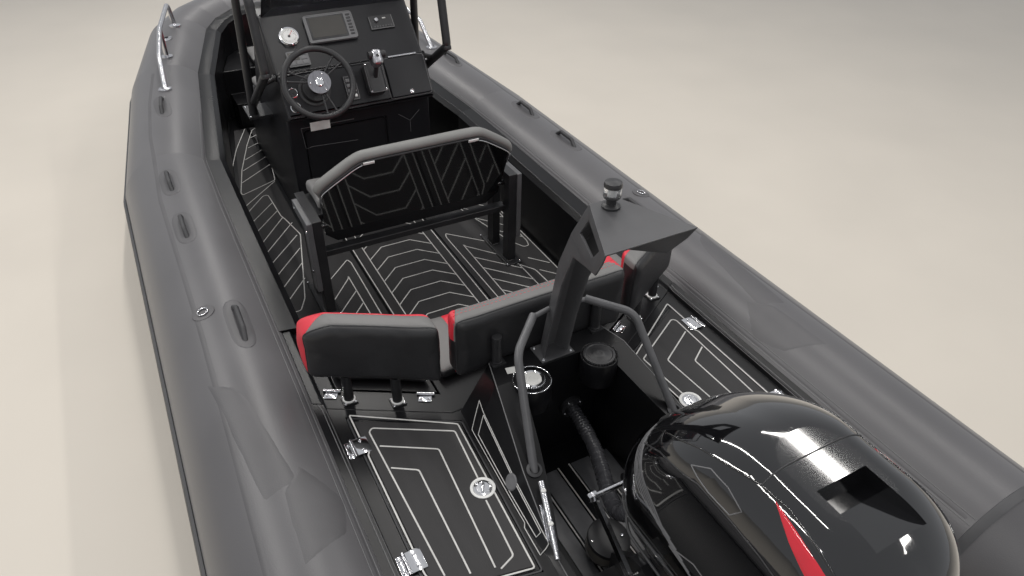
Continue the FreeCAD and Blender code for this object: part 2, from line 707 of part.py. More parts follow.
# Helm seat: four square legs on base plates, bars, tray, cross bar, side brackets
leg_parts = []
plate_height = 8.0
seat_bar_height = 40.0
seat_tray_drop = 15.0
pad_top_z = sole_top_z + pad_thickness
for side in (1, -1):
    outer = side * leg_x
    x0 = min(outer - side * leg_thickness, outer)
    x1 = x0 + leg_thickness
    for y in leg_rows_y:
        leg_parts.append(box(x0, x1, y - leg_size / 2, y + leg_size / 2, pad_top_z,
                             seat_bar_z - seat_bar_height))
    leg_parts.append(box(x0 - 20, x1 + 20, leg_rows_y[1] - 65, leg_rows_y[0] + 65, pad_top_z,
                         pad_top_z + plate_height))
    leg_parts.append(box(x0, x1, leg_rows_y[1] - leg_size / 2, helm_cushion_y[1] - 5,
                         seat_bar_z - seat_bar_height, seat_bar_z))
inner_x = leg_x - leg_thickness
leg_parts.append(box(-inner_x - 5, inner_x + 5, leg_rows_y[1] + 10, leg_rows_y[1] + 60,
                     crossbar_z - crossbar_half, crossbar_z + crossbar_half))
leg_parts.append(box(-inner_x - 5, inner_x + 5, helm_cushion_y[0] + 8, helm_cushion_y[1] - 10,
                     seat_bar_z - seat_bar_height, seat_bar_z - seat_tray_drop))
helm_frame = joined(leg_parts)
write("helm_seat_frame", helm_frame)

bracket_x = (leg_x, leg_x + bracket_thickness)
bracket_post = box(*bracket_x, *bracket_post_y, bracket_bottom_z, seat_bar_z)
bracket_arm = box(*bracket_x, bracket_post_y[0], bracket_front_y, seat_bar_z - seat_bar_height - 5, seat_bar_z)
bracket = joined([bracket_post, bracket_arm])
write("helm_side_brackets", both_sides(bracket))
helm_cushion = box(-inner_x + 1, inner_x - 1, *helm_cushion_y, seat_bar_z - seat_tray_drop,
                   helm_cushion_top_z)
write("helm_cushion", helm_cushion)

back_low = Vector(0, *helm_back_bottom)
back_high = Vector(0, *helm_back_top)
back_up = (back_high - back_low).normalize()
back_forward = Vector(0, back_up.z, -back_up.y)
back_length = (back_high - back_low).Length
# Columns: half width, distance up the shell
back_outline = [(370, 0), (425, 60), (440, 330), (270, back_length), (-270, back_length), (-440, 330),
                (-425, 60), (-370, 0)]


def back_plate(outline, depth0, depth1):
    """Plate with an outline in the plane of the helm backrest, between two depths forward."""
    corners = [Vector(x, 0, 0) + back_low + back_up * v + back_forward * depth0 for x, v in outline]
    return Part.Face(Part.makePolygon(corners + corners[:1])).extrude(back_forward * (depth1 - depth0))


helm_back = back_plate(back_outline, 0, 26)
roll_line = [(x, v) for x, v in back_outline[2:6]]
roll_points = [tuple(Vector(x, 0, 0) + back_low + back_up * (v + 16) + back_forward * 15) for x, v in roll_line]
roll = bent_tube(roll_points, 15.0, 60)
write("helm_back_roll", roll)
pin_y = -674.0
pin_z = 590.0
back_pins = [rod((side * 415, pin_y, pin_z), (side * inner_x, pin_y, pin_z), 12.0) for side in (1, -1)]
write("helm_backrest", joined([helm_back.cut(roll)] + back_pins))

# Aft bench backrests; each stands on two posts
rest_fwd = 17.0


def bench_slab(x0, x1, aft, fwd, z0, z1):
    """Starboard block along the bench hinge line between two distances aft of it."""
    outline = [(x0, hinge_line_y(x0, aft)), (x1, hinge_line_y(x1, aft)),
               (x1, hinge_line_y(x1, fwd)), (x0, hinge_line_y(x0, fwd))]
    return prism_z(outline, z0, z1)


side_rest = bench_slab(375, 735, backrest_aft_offset, -rest_fwd, backrest_bottom_z,
                       backrest_bottom_z + backrest_height)
write("bench_backrest_starboard", side_rest)
write("bench_backrest_port", mirrored(side_rest))
centre_rest_y = (-1832.0, -1740.0)
centre_rest_half = 330.0
centre_rest_lift = 10.0
centre_rest = box(-centre_rest_half, centre_rest_half, *centre_rest_y, backrest_bottom_z + centre_rest_lift,
                  backrest_bottom_z + backrest_height + centre_rest_lift)
write("bench_backrest_centre", centre_rest)
side_post_x = (492.0, 635.0)
centre_post_x = 190.0
centre_post_height = 110.0
post_plate_half = 24.0
post_plate_thickness = 6.0


def rest_post(x, y, foot_z, height, plate_front):
    """Post on a square plate, whose front edge is given."""
    plate = box(x - post_plate_half, x + post_plate_half, y - post_plate_half, y + plate_front,
                foot_z, foot_z + post_plate_thickness)
    return joined([disc((x, y, foot_z), (0, 0, 1), post_radius, height), plate])


posts = [rest_post(x, hinge_line_y(x, post_setback), aft_deck_z, backrest_bottom_z - aft_deck_z, post_plate_half)
         for x in side_post_x]
posts.append(rest_post(centre_post_x, centre_rest_y[0] - post_radius - 0.3, bulkhead_top_z, centre_post_height, 8))
write("backrest_posts", Part.makeCompound(posts + [mirrored(p) for p in posts]))

# Light mast: a folded plate, open at the back, whose cheeks widen into two arms under the top plate
mast_foot_z = bulkhead_top_z
mast_front = [(-1850.0, mast_foot_z), (-1900.0, 907.0), (-1935.0, 1055.0), (-1997.0, 1195.0), (-2077.0, mast_top_z)]
mast_back = [(-2292.0, mast_top_z), (-2287.0, 1312.0), (-2228.0, 1224.0), (-2046.0, 1150.0), (-1985.0, 1012.0),
             (-1943.0, 840.0), (-1906.0, mast_foot_z)]
mast_side = mast_front + mast_back
mast_window = [(-2062.0, 1236.0), (-2188.0, 1246.0), (-2236.0, 1302.0), (-2106.0, 1302.0)]
# Columns: height, half width and station of the front fold, half width and station behind the cheeks
mast_rows = [(mast_foot_z, 29.0, -1850.0, 50.0, -1910.0), (1055.0, 31.0, -1935.0, 56.0, -2020.0),
             (1195.0, 36.0, -1997.0, 112.0, -2225.0), (mast_top_z, 42.0, -2077.0, 137.0, -2292.0)]


def mast_outline(row, grow):
    """Plan outline of the mast's folded plate at one height, grown or shrunk by a thickness."""
    z, front_half, front_y, aft_half, aft_y = row
    outline = [(front_half + grow, front_y + grow), (aft_half + grow, aft_y)]
    return polygon([(x, y, z) for x, y in outline + [(-x, y) for x, y in reversed(outline)]])


mast_solid = Part.makeLoft([mast_outline(row, 0) for row in mast_rows], True, True)
mast_room = Part.makeLoft([mast_outline(row, -mast_plate) for row in mast_rows], True, True)
mast_room = mast_room.cut(box(-400, 400, -2400, -1800, mast_top_z - mast_plate, mast_top_z + 1))
mast = mast_solid.cut(mast_room).common(prism_x(mast_side, -300, 300))
mast = mast.cut(prism_x(mast_window, -300, 300))
mast = joined([mast, box(-62, 62, -1925, -1842, mast_foot_z, mast_foot_z + mast_plate)])
write("light_mast", mast)
light_y = -2114.0
light = joined([disc((0, light_y, mast_top_z), (0, 0, 1), 24, 8), disc((0, light_y, mast_top_z), (0, 0, 1), 11, 42),
                disc((0, light_y, mast_top_z + 40), (0, 0, 1), 24, 36)])
write("anchor_light", light)

# Grab rails beside the well, deck caps and cleats
rail_radius = 13.0
rail_foot = (259.0, -2227.0)


def coaming_top_z(y):
    """Height of the coamings' sloping top at a station."""
    for (y1, w1, z1), (y0, w0, z0) in zip(coaming_rows, coaming_rows[1:]):
        if y0 <= y <= y1:
            return z0 + (z1 - z0) * (y - y0) / (y1 - y0)


rail_end = (95.0, -1910.0, 861.0)
grab_rail = bent_tube([rail_end, (210, -2020, 840), (*rail_foot, coaming_top_z(rail_foot[1]) - 8)], rail_radius, 70)
rail_arm = rod((34, rail_end[1] + 8, rail_end[2]), (rail_end[0] + 6, rail_end[1] - 6, rail_end[2]), 8.0)
grab_rail = joined([grab_rail, rail_arm]).cut(mast).cut(aft_deck)
write("grab_rails", both_sides(grab_rail))
pocket_floor_z = bulkhead_top_z - 8
cap_port = disc((*cap_centres[0], pocket_floor_z), (0, 0, 1), 40, 13)
cap_starboard = disc((*cap_centres[1], pocket_floor_z), (0, 0, 1), 52, 13)
write("deck_caps", Part.makeCompound([cap_port, cap_starboard]))

# Horn cleats that lie along the coamings' tops
cleat_length = 220.0
cleat_height = 30.0
cleat_middle = (295.0, -2372.0)
cleat_heading = 16.4
cleat_pitch = math.degrees(math.atan2(coaming_top_z(-2300.0) - coaming_top_z(-2440.0), 140.0))
cleat_parts = [rod((0, -cleat_length / 2, cleat_height), (0, cleat_length / 2, cleat_height), 9.0)]
cleat_parts += [disc((0, s * 34, 0), (0, 0, 1), 9.0, cleat_height) for s in (1, -1)]
cleat_parts.append(box(-14, 14, -52, 52, 0, 5))
aft_cleat = joined(cleat_parts)
aft_cleat.rotate(Vector(0, 0, 0), Vector(1, 0, 0), cleat_pitch)
aft_cleat.rotate(Vector(0, 0, 0), Vector(0, 0, 1), cleat_heading)
aft_cleat.translate(Vector(*cleat_middle, coaming_top_z(cleat_middle[1]) + 0.5))
write("cleats", both_sides(aft_cleat.cut(aft_deck)))

# Tube fittings: carrying handles on a rubber patch
# Columns: station, angle inboard from the top, length
handle_rows = [(47.0, -6.0, 190.0), (-400.0, -6.0, 190.0), (-1160.0, 12.0, 220.0), (900.0, -4.0, 190.0)]


def tube_top(y, angle, lift=0.0):
    """Point on the starboard tube at a station, by angle inboard from its top."""
    runs = [c for c in reversed(centreline) if c[0] > 0]
    for (x0, y0, z0), (x1, y1, z1) in zip(runs, runs[1:]):
        if y0 <= y <= y1:
            share = (y - y0) / (y1 - y0)
            cx = x0 + (x1 - x0) * share
            cz = z0 + (z1 - z0) * share
            heading = math.atan2(x1 - x0, y1 - y0)
            a = math.radians(angle)
            r = tube_radius + lift
            return Vector(cx - r * math.sin(a) * math.cos(heading), y, cz + r * math.cos(a)), heading


def tube_handle(y, angle, length):
    """Rubber handle: a thin patch on the tube and a grip raised over it."""
    ends = [tube_top(y + s * length / 2, angle, -6)[0] for s in (-1, 1)]
    knees = [tube_top(y + s * length * 0.28, angle, 26)[0] for s in (-1, 1)]
    return bent_tube([tuple(ends[0]), tuple(knees[0]), tuple(knees[1]), tuple(ends[1])], 10.0, 16)


handles = [tube_handle(*row) for row in handle_rows]
handles = [h.cut(tube_starboard) for h in handles]
handles = [largest(h) for h in handles]
write("tube_handles", Part.makeCompound(handles + [mirrored(h) for h in handles]))

# Bow rails on both tubes
bow_rail_radius = 14.0
bow_feet_y = (1109.0, 1560.0, 1990.0)
feet = [tube_top(y, 0.0, -4)[0] for y in bow_feet_y]
rail_run = [tuple(feet[0]), tuple(feet[0] + Vector(-20, 130, 150)), tuple(feet[1] + Vector(0, 0, 175)),
            tuple(feet[2] + Vector(20, -60, 165)), tuple(feet[2])]
bow_rail = bent_tube(rail_run, bow_rail_radius, 50)
bow_rail = joined([bow_rail, rod(tuple(feet[1]), tuple(feet[1] + Vector(0, 0, 172)), bow_rail_radius)])
flanges = [disc(tuple(f + Vector(0, 0, -2)), (0, 0, 1), 36, 12) for f in feet]
bow_rail = joined([bow_rail] + flanges).cut(tube_starboard).cut(tube_bow)
write("bow_rails", both_sides(bow_rail))

# Bow eye on the stem
stem_eye = Part.makeTorus(26, 7, Vector(0, 2325, 102), Vector(1, 0, 0))
write("bow_eye", stem_eye.cut(hull))

# Outboard: clamp bracket on the transom
transom_y = hull_bottom_y
clamp_x = (116.0, 140.0)
clamp_outline = [(transom_y - 0.3, 120), (transom_y - 0.3, transom_top_z + 0.3),
                 (transom_y + transom_thickness + 0.3, transom_top_z + 0.3),
                 (transom_y + transom_thickness + 0.3, 270), (transom_y + transom_thickness + 22, 270),
                 (transom_y + transom_thickness + 22, transom_top_z + 30), (tilt_axis_y + 40, tilt_axis_z + 30),
                 (tilt_axis_y, tilt_axis_z + 42), (tilt_axis_y - 36, tilt_axis_z + 26),
                 (tilt_axis_y - 46, tilt_axis_z - 30), (transom_y - 60, 200), (transom_y - 40, 120)]
clamp = prism_x(clamp_outline, *clamp_x)
tilt_tube_half = 186.0
tilt_tube = rod((-tilt_tube_half, tilt_axis_y, tilt_axis_z), (tilt_tube_half, tilt_axis_y, tilt_axis_z), 14.0)
write("clamp_bracket", joined([clamp, mirrored(clamp), tilt_tube]))

# Swivel bracket on the tilt tube; it carries the upright steering tube
swivel_half = clamp_x[0] - 6
swivel_top_z = 440.0
swivel_foot_z = 90.0
swivel_arm_z = 395.0
swivel_web_half = 50.0
swivel_outline = [(tilt_axis_y + 34, tilt_axis_z - 12), (tilt_axis_y + 18, tilt_axis_z + 24),
                  (tilt_axis_y - 12, tilt_axis_z + 24), (steer_axis_y + 74, swivel_top_z),
                  (steer_axis_y + 10, swivel_top_z), (steer_axis_y + 10, swivel_foot_z),
                  (steer_axis_y + 40, swivel_foot_z), (transom_y - 46, 250), (transom_y - 46, 380)]
swivel = prism_x(swivel_outline, -swivel_half, swivel_half)
beside_web = box(swivel_web_half, 200, steer_axis_y + 40, steer_axis_y + 200, -100, swivel_arm_z)
swivel = swivel.cut(beside_web).cut(mirrored(beside_web))
swivel = joined([swivel, disc((0, steer_axis_y, swivel_foot_z - 10), (0, 0, 1), 44, 360)])
swivel = swivel.cut(rod((-200, tilt_axis_y, tilt_axis_z), (200, tilt_axis_y, tilt_axis_z), 14.1))
swivel = swivel.cut(disc((0, steer_axis_y, 0), (0, 0, 1), 20.1, 600))
write("swivel_bracket", swivel)

# Steering cylinder: its rod stands on two arms on the ends of the tilt tube, and the barrel slides along it
steer_rod_y = -2400.0
steer_rod_z = 590.0
steer_arm_x = (160.0, 172.0)
steer_rod_radius = 9.0
barrel_radius = 26.0
barrel_half = 58.0
arm_lean = Vector(0, steer_rod_y - tilt_axis_y, steer_rod_z - tilt_axis_z).normalize()
arm_side = Vector(0, -arm_lean.z, arm_lean.y) * 14.0
arm_ends = [Vector(0, tilt_axis_y, tilt_axis_z), Vector(0, steer_rod_y, steer_rod_z)]
arm_corners = [arm_ends[0] + arm_side, arm_ends[1] + arm_side, arm_ends[1] - arm_side, arm_ends[0] - arm_side]
steer_arm = joined([prism_x([(c.y, c.z) for c in arm_corners], *steer_arm_x),
                    disc((steer_arm_x[0], tilt_axis_y, tilt_axis_z), (1, 0, 0), 24, 12),
                    disc((steer_arm_x[0], steer_rod_y, steer_rod_z), (1, 0, 0), 18, 12)])
steer_rod = rod((-steer_arm_x[1] - 8, steer_rod_y, steer_rod_z), (steer_arm_x[1] + 8, steer_rod_y, steer_rod_z),
                steer_rod_radius)
steer_rod = joined([steer_rod, steer_arm, mirrored(steer_arm)])
steer_rod = steer_rod.cut(rod((-300, tilt_axis_y, tilt_axis_z), (300, tilt_axis_y, tilt_axis_z), 14.1))
write("steering_rod", steer_rod)
link_z = 522.0
link_end_y = -2540.0
barrel = joined([rod((-barrel_half, steer_rod_y, steer_rod_z), (barrel_half, steer_rod_y, steer_rod_z), barrel_radius),
                 box(-14, 14, steer_rod_y - 14, steer_rod_y + 14, link_z, steer_rod_z),
                 box(-14, 14, link_end_y, steer_rod_y + 14, link_z, link_z + 12)])
barrel = barrel.cut(rod((-300, steer_rod_y, steer_rod_z), (300, steer_rod_y, steer_rod_z), steer_rod_radius + 0.05))
write("steering_cylinder", barrel)

# Outboard above the swivel: pan, leg, gearcase and cowl, all turning on the steering shaft


def rounded_outline(half, front, back, round_front, round_back, z):
    """Closed plan outline of lines and arcs, symmetric about the centreline."""
    f, b, rf, rb = front, back, round_front, round_back
    k = 1 - math.sqrt(0.5)
    corners = [
        ((half, f - rf), (half - rf * k, f - rf * k), (half - rf, f)),
        ((-half + rf, f), (-half + rf * k, f - rf * k), (-half, f - rf)),
        ((-half, b + rb), (-half + rb * k, b + rb * k), (-half + rb, b)),
        ((half - rb, b), (half - rb * k, b + rb * k), (half, b + rb)),
    ]
    edges = []
    for index, arc in enumerate(corners):
        a, m, e = [Vector(x, y, z) for x, y in arc]
        following = corners[(index + 1) % 4][0]
        edges.append(Part.Arc(a, m, e).toShape())
        edges.append(Part.makeLine(e, Vector(following[0], following[1], z)))
    return Part.Wire(edges)


def lofted(rows, ruled=False):
    """Solid through rounded outlines, one for each row of the table."""
    return Part.makeLoft([rounded_outline(*row) for row in rows], True, ruled)


# Columns of each table: half width, front, back, front corner radius, back corner radius, height
cowl_rows = [
    (140.0, -2485.0, -3060.0, 90.0, 110.0, 600.0),
    (176.0, -2455.0, -3130.0, 120.0, 150.0, 700.0),
    (194.0, -2450.0, -3165.0, 150.0, 170.0, 850.0),
    (194.0, -2530.0, -3170.0, 150.0, 170.0, 1000.0),
    (176.0, -2630.0, -3150.0, 140.0, 160.0, 1090.0),
    (134.0, -2720.0, -3090.0, 110.0, 120.0, 1142.0),
    (84.0, -2790.0, -3030.0, 76.0, 80.0, 1158.0),
]
pan_rows = [
    (92.0, -2680.0, -2990.0, 50.0, 60.0, 455.0),
    (118.0, -2600.0, -3015.0, 60.0, 70.0, 530.0),
    (140.0, -2500.0, -3045.0, 65.0, 85.0, 600.0),
]
leg_rows = [
    (80.0, -2786.0, -3000.0, 30.0, 60.0, 470.0),
    (62.0, -2786.0, -2985.0, 26.0, 50.0, 100.0),
    (46.0, -2794.0, -2985.0, 22.0, 40.0, plate_z),
]
strut_rows = [
    (30.0, -2792.0, -2995.0, 22.0, 25.0, plate_z),
    (26.0, -2805.0, -2985.0, 20.0, 22.0, prop_axis_z),
]
# The air intake is a scoop in the cowl's top: deep at its front lip and rising to the surface behind
scoop_half = 66.0
scoop_side = [(-2915.0, 1200.0), (-2928.0, 1112.0), (-3062.0, 1146.0), (-3062.0, 1200.0)]
cowl = lofted(cowl_rows).cut(prism_x(scoop_side, -scoop_half, scoop_half))
write("cowl", cowl)

gearcase_front_y = -2700.0
gearcase_back_y = -3025.0
gearcase_radius = 56.0
nose_length = 110.0
nose = [Vector(0, gearcase_front_y, prop_axis_z),
        Vector(0, gearcase_front_y - nose_length * 0.3, prop_axis_z + gearcase_radius * 0.74),
        Vector(0, gearcase_front_y - nose_length, prop_axis_z + gearcase_radius)]
tail = [Vector(0, gearcase_back_y + 60, prop_axis_z + gearcase_radius),
        Vector(0, gearcase_back_y, prop_axis_z + 46)]
torpedo_profile = Part.Wire([Part.Arc(*nose).toShape(), Part.makeLine(nose[2], tail[0]),
                             Part.makeLine(tail[0], tail[1]),
                             Part.makeLine(tail[1], Vector(0, gearcase_back_y, prop_axis_z)),
                             Part.makeLine(Vector(0, gearcase_back_y, prop_axis_z), nose[0])])
torpedo = Part.Face(torpedo_profile).revolve(Vector(0, 0, prop_axis_z), Vector(0, 1, 0), 360)
plate_outline = [(30, -2740), (62, -2800), (104, -2900), (100, -3100), (80, -3140), (-80, -3140),
                 (-100, -3100), (-104, -2900), (-62, -2800), (-30, -2740)]
skeg_side = [(-2780, prop_axis_z - 40), (-2840, prop_axis_z - 190), (-2890, prop_axis_z - 215),
             (-2965, prop_axis_z - 215), (-2990, prop_axis_z - 40)]
tiller_end_y = link_end_y - 8
leg = joined([lofted(pan_rows), lofted(leg_rows, True), lofted(strut_rows, True), torpedo,
              prism_z(plate_outline, plate_z - 5, plate_z + 5), prism_x(skeg_side, -7, 7),
              box(-58, 58, -2810, steer_axis_y + 40, 446, 500),
              box(-22, 22, steer_axis_y, tiller_end_y, 507, 517),
              box(-52, 52, -2810, steer_axis_y + 36, 28, 73),
              disc((0, steer_axis_y, 30), (0, 0, 1), 20.0, 440)])
leg = leg.cut(rod((0, gearcase_back_y - 10, prop_axis_z), (0, gearcase_back_y + 60, prop_axis_z), 12.1))
write("outboard_leg", leg)

# Propeller: three twisted blades on a hub, with its shaft in the gearcase
hub_front_y = gearcase_back_y - 6
hub_length = 112.0
blade_count = 3
# Columns: radius, chord, pitch angle in degrees, thickness
blade_rows = [(38.0, 92.0, 62.0, 9.0), (90.0, 128.0, 42.0, 7.0), (140.0, 132.0, 30.0, 5.0), (178.0, 78.0, 24.0, 3.0)]


def blade_section(radius, chord, pitch, thickness):
    """Lens-shaped cross wire of a blade that points up."""
    a = math.radians(pitch)
    along = Vector(math.cos(a), -math.sin(a), 0) * (chord / 2)
    across = Vector(math.sin(a), math.cos(a), 0) * (thickness / 2)
    middle = Vector(0, hub_front_y - hub_length / 2, prop_axis_z + radius)
    corners = [middle - along, middle + across, middle + along, middle - across]
    return Part.makePolygon(corners + corners[:1])


blade = Part.makeLoft([blade_section(*row) for row in blade_rows], True, True)
blades = []
for index in range(blade_count):
    turned = blade.copy()
    turned.rotate(Vector(0, 0, prop_axis_z), Vector(0, 1, 0), 360.0 / blade_count * index)
    blades.append(turned)
hub = Part.makeCone(46, 42, hub_length, Vector(0, hub_front_y, prop_axis_z), Vector(0, -1, 0))
shaft = rod((0, hub_front_y - 20, prop_axis_z), (0, gearcase_back_y + 50, prop_axis_z), 12.0)
write("propeller", joined([hub, shaft] + blades))

# Rigging hose from the well's wall to the front of the cowl
hose_radius = 25.0
hose_points = [(59, well_wall_y - 0.3, 413), (48, -2090, 402), (-50, -2320, 430), (-100, -2455, 500),
               (-100, -2510, 660)]
hose_start = hose_points[0]
hose = bent_tube(hose_points, hose_radius, 60).cut(cowl).cut(leg).cut(aft_deck)
write("rigging_hose", largest(hose))
flange = disc(hose_start, (0, -1, 0), 42, 12)
write("hose_flange", flange.cut(hose))

# Hinge knuckles on the boat's side of each lid
knuckle_radius = 6.0
hinge_z = aft_deck_z + knuckle_radius + 0.3
# Columns: middle of the knuckle, length, direction of the hinge line
knuckle_rows = [((hatch_hinge_x, -1836, hinge_z), 70, (0, 1, 0)), ((hatch_hinge_x, -2290, hinge_z), 70, (0, 1, 0)),
                ((675, hinge_line_y(675), hinge_z), 60, tuple(hinge_run)),
                ((395, hinge_line_y(395), hinge_z), 60, tuple(hinge_run)),
                ((180, bow_lid_y[1] + 10, hinge_z), 60, (1, 0, 0))]
glove_hinge = (sum(glove_x) / 2, desk_high[0], desk_high[1] + knuckle_radius)
glove_knuckle_length = 150.0
knuckles = []
for middle, length, direction in knuckle_rows:
    along = Vector(*direction).normalize()
    start = Vector(*middle) - along * (length / 2)
    knuckles.append(disc(tuple(start), tuple(along), knuckle_radius, length))
glove_knuckle = disc((glove_hinge[0] - glove_knuckle_length / 2, *glove_hinge[1:]), (1, 0, 0), knuckle_radius,
                     glove_knuckle_length)
write("lid_hinges", Part.makeCompound(knuckles + [mirrored(k) for k in knuckles] + [glove_knuckle]))
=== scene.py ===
import bmesh
import bpy
import math
from mathutils import Matrix, Vector
from mathutils.bvhtree import BVHTree


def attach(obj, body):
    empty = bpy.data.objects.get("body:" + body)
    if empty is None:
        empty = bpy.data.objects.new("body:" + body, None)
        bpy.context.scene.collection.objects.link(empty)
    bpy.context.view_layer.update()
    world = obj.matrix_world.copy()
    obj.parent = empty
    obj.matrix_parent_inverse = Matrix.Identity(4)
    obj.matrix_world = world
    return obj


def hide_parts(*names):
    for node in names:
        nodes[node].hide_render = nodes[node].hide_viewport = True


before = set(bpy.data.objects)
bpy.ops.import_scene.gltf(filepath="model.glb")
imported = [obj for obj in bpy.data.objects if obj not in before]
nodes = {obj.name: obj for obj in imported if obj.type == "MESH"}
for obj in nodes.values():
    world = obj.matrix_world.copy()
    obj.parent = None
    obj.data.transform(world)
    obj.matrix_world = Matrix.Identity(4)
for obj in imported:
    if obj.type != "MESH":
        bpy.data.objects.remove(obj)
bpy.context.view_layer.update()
scene = bpy.context.scene
SIDES = ((-1, "port"), (1, "starboard"))

# Camera: fitted to the photo; angles in degrees, place in metres above the waterline
YAW = math.radians(28.6937)
PITCH = math.radians(36.9296)
ROLL = math.radians(1.02535)
LENS_MM = 25.44
SENSOR_MM = 36
CAMERA_PLACE = Vector((-0.987, -3.400, 2.270))
forward = Vector((math.sin(YAW) * math.cos(PITCH), math.cos(YAW) * math.cos(PITCH), -math.sin(PITCH)))
level = Vector((math.cos(YAW), -math.sin(YAW), 0))
upward = level.cross(forward)
cam_x = level * math.cos(ROLL) + upward * math.sin(ROLL)
cam_y = upward * math.cos(ROLL) - level * math.sin(ROLL)
camera = bpy.data.objects.new("camera", bpy.data.cameras.new("camera"))
camera.data.lens = LENS_MM
camera.data.sensor_width = SENSOR_MM
place = Matrix((cam_x, cam_y, -forward)).transposed().to_4x4()
place.translation = CAMERA_PLACE
camera.matrix_world = place
scene.collection.objects.link(camera)
scene.camera = camera
scene.view_settings.view_transform = "Standard"


# Materials: colours are sRGB hex, pattern sizes are millimetres on the boat
def linear(code, gain=1.0):
    """Linear colour of an sRGB hex value, made lighter or darker by the gain."""
    shares = [int(code[i:i + 2], 16) / 255 for i in (1, 3, 5)]
    return [min(1.0, gain * (v / 12.92 if v <= 0.04045 else ((v + 0.055) / 1.055) ** 2.4))
            for v in shares] + [1.0]


def put(tree, kind, values=None, links=None, **settings):
    """Adds a node with its settings, socket values and incoming links."""
    made = tree.nodes.new(kind)
    for name, value in settings.items():
        setattr(made, name, value)
    for socket, value in (values or {}).items():
        made.inputs[socket].default_value = value
    for socket, source in (links or {}).items():
        tree.links.new(source, made.inputs[socket])
    return made


MM = 1000.0
WAVE_MM = 314.16  # spacing of a wave texture's bands at scale 1


def finish(name, tone, rough, metallic=0.0, ior=1.5, patch=200, vary=0.1, uneven=0.06, relief=None,
           size=3.0, depth=0.3, coat=0.0, clear=0.0, sheen=0.0, stretch=(1, 1, 1)):
    """Material whose colour, roughness and relief vary over the surface.

    Patch is the size of its cloudy tone changes; size and depth are those of its relief.
    """
    mat = bpy.data.materials.new(name)
    mat.use_nodes = True
    tree = mat.node_tree
    shader = tree.nodes["Principled BSDF"]
    settings = {"Metallic": metallic, "IOR": ior, "Coat Weight": coat, "Coat Roughness": 0.04,
                "Transmission Weight": clear, "Sheen Weight": sheen}
    for socket, value in settings.items():
        shader.inputs[socket].default_value = value
    where = put(tree, "ShaderNodeTexCoord")
    spot = put(tree, "ShaderNodeMapping", {"Scale": stretch},
               {"Vector": where.outputs["Object"]}).outputs[0]
    cloud = put(tree, "ShaderNodeTexNoise", {"Scale": MM / patch, "Detail": 6.0},
                {"Vector": spot}).outputs["Fac"]
    ramp = put(tree, "ShaderNodeValToRGB", None, {"Fac": cloud})
    for element, place, gain in zip(ramp.color_ramp.elements, (0.3, 0.7), (1 - vary, 1 + vary)):
        element.position = place
        element.color = linear(tone, gain)
    tree.links.new(ramp.outputs[0], shader.inputs["Base Color"])
    spread = put(tree, "ShaderNodeMapRange",
                 {"To Min": max(0.02, rough - uneven), "To Max": min(1.0, rough + uneven)},
                 {"Value": cloud})
    tree.links.new(spread.outputs[0], shader.inputs["Roughness"])
    if relief == "weave":
        warp, weft = [put(tree, "ShaderNodeTexWave", {"Scale": WAVE_MM / size}, {"Vector": spot},
                          bands_direction=axis).outputs["Fac"] for axis in "XY"]
        height = put(tree, "ShaderNodeMath", None, {0: warp, 1: weft}, operation="MAXIMUM").outputs[0]
    elif relief == "grain":
        height = put(tree, "ShaderNodeTexVoronoi", {"Scale": MM / size}, {"Vector": spot},
                     feature="SMOOTH_F1").outputs["Distance"]
    elif relief == "grit":
        height = put(tree, "ShaderNodeTexNoise", {"Scale": MM / size, "Detail": 3.0},
                     {"Vector": spot}).outputs["Fac"]
    if relief:
        bump = put(tree, "ShaderNodeBump", {"Strength": 0.6, "Distance": depth / MM}, {"Height": height})
        tree.links.new(bump.outputs[0], shader.inputs["Normal"])
    return mat


# Coated fabric, calendered: dull grey with a soft sheen. Its 0.5 mm grain is drawn at 3 mm so that it shows
TUBE = finish("coated_fabric", "#555456", 0.37, patch=420, vary=0.08, relief="grain", size=3.0, depth=0.3,
              sheen=0.1)
# The same fabric glued on as wear pads: a shade darker and drier
PATCH = finish("coated_fabric_patch", "#515052", 0.46, patch=140, vary=0.08, relief="grain", size=3.0,
               depth=0.4)
# Welded seam tape: lighter than the tube, with the roller's faint print. The same pale colour also draws
# painted edge highlights on the console
TAPE_AND_EDGE_HIGHLIGHT = finish("seam_tape_and_painted_highlight", "#6b6b6c", 0.42, patch=110, vary=0.1, relief="weave", size=4.0, depth=0.2)
# Moulded rubber: matt, with dusty patches
RUBBER = finish("moulded_rubber", "#343436", 0.56, patch=70, vary=0.2, relief="grit", size=4.0, depth=0.3)
# Extruded rubber strake: a little greyer from scuffs along it
STRAKE = finish("extruded_rubber", "#414143", 0.52, patch=100, vary=0.15, relief="grit", size=5.0,
                depth=0.4)
# Polished gelcoat from the mould: deep black; its orange peel, some 5 mm across, is drawn at 32 mm to show
GELCOAT = finish("black_gelcoat", "#121214", 0.30, ior=1.36, patch=330, vary=0.25, relief="grit", size=32.0,
                 depth=0.03)
# Gelcoat of the bottom, worn a little by the trailer
HULL = finish("hull_gelcoat", "#2b2b2d", 0.26, patch=400, vary=0.2, relief="grit", size=40.0, depth=0.06,
              coat=0.4)
# Sprayed satin gelcoat of the console: black with a soft, broad gloss
CONSOLE = finish("satin_gelcoat", "#1c1c1f", 0.33, ior=1.4, patch=200, vary=0.2, relief="grit", size=20.0,
                 depth=0.02)
# Brushed EVA foam sheet: charcoal; its brush strokes run fore and aft, drawn 3 mm apart to show
EVA = finish("brushed_eva_foam", "#2a292a", 0.66, patch=45, vary=0.22, relief="grit", size=3.0, depth=0.7,
             stretch=(1, 0.25, 1))
# Routed groove of the foam, showing the pale lower layer
LINE = finish("eva_groove", "#c9c8c5", 0.62, patch=30, vary=0.1, relief="grit", size=2.5, depth=0.3)
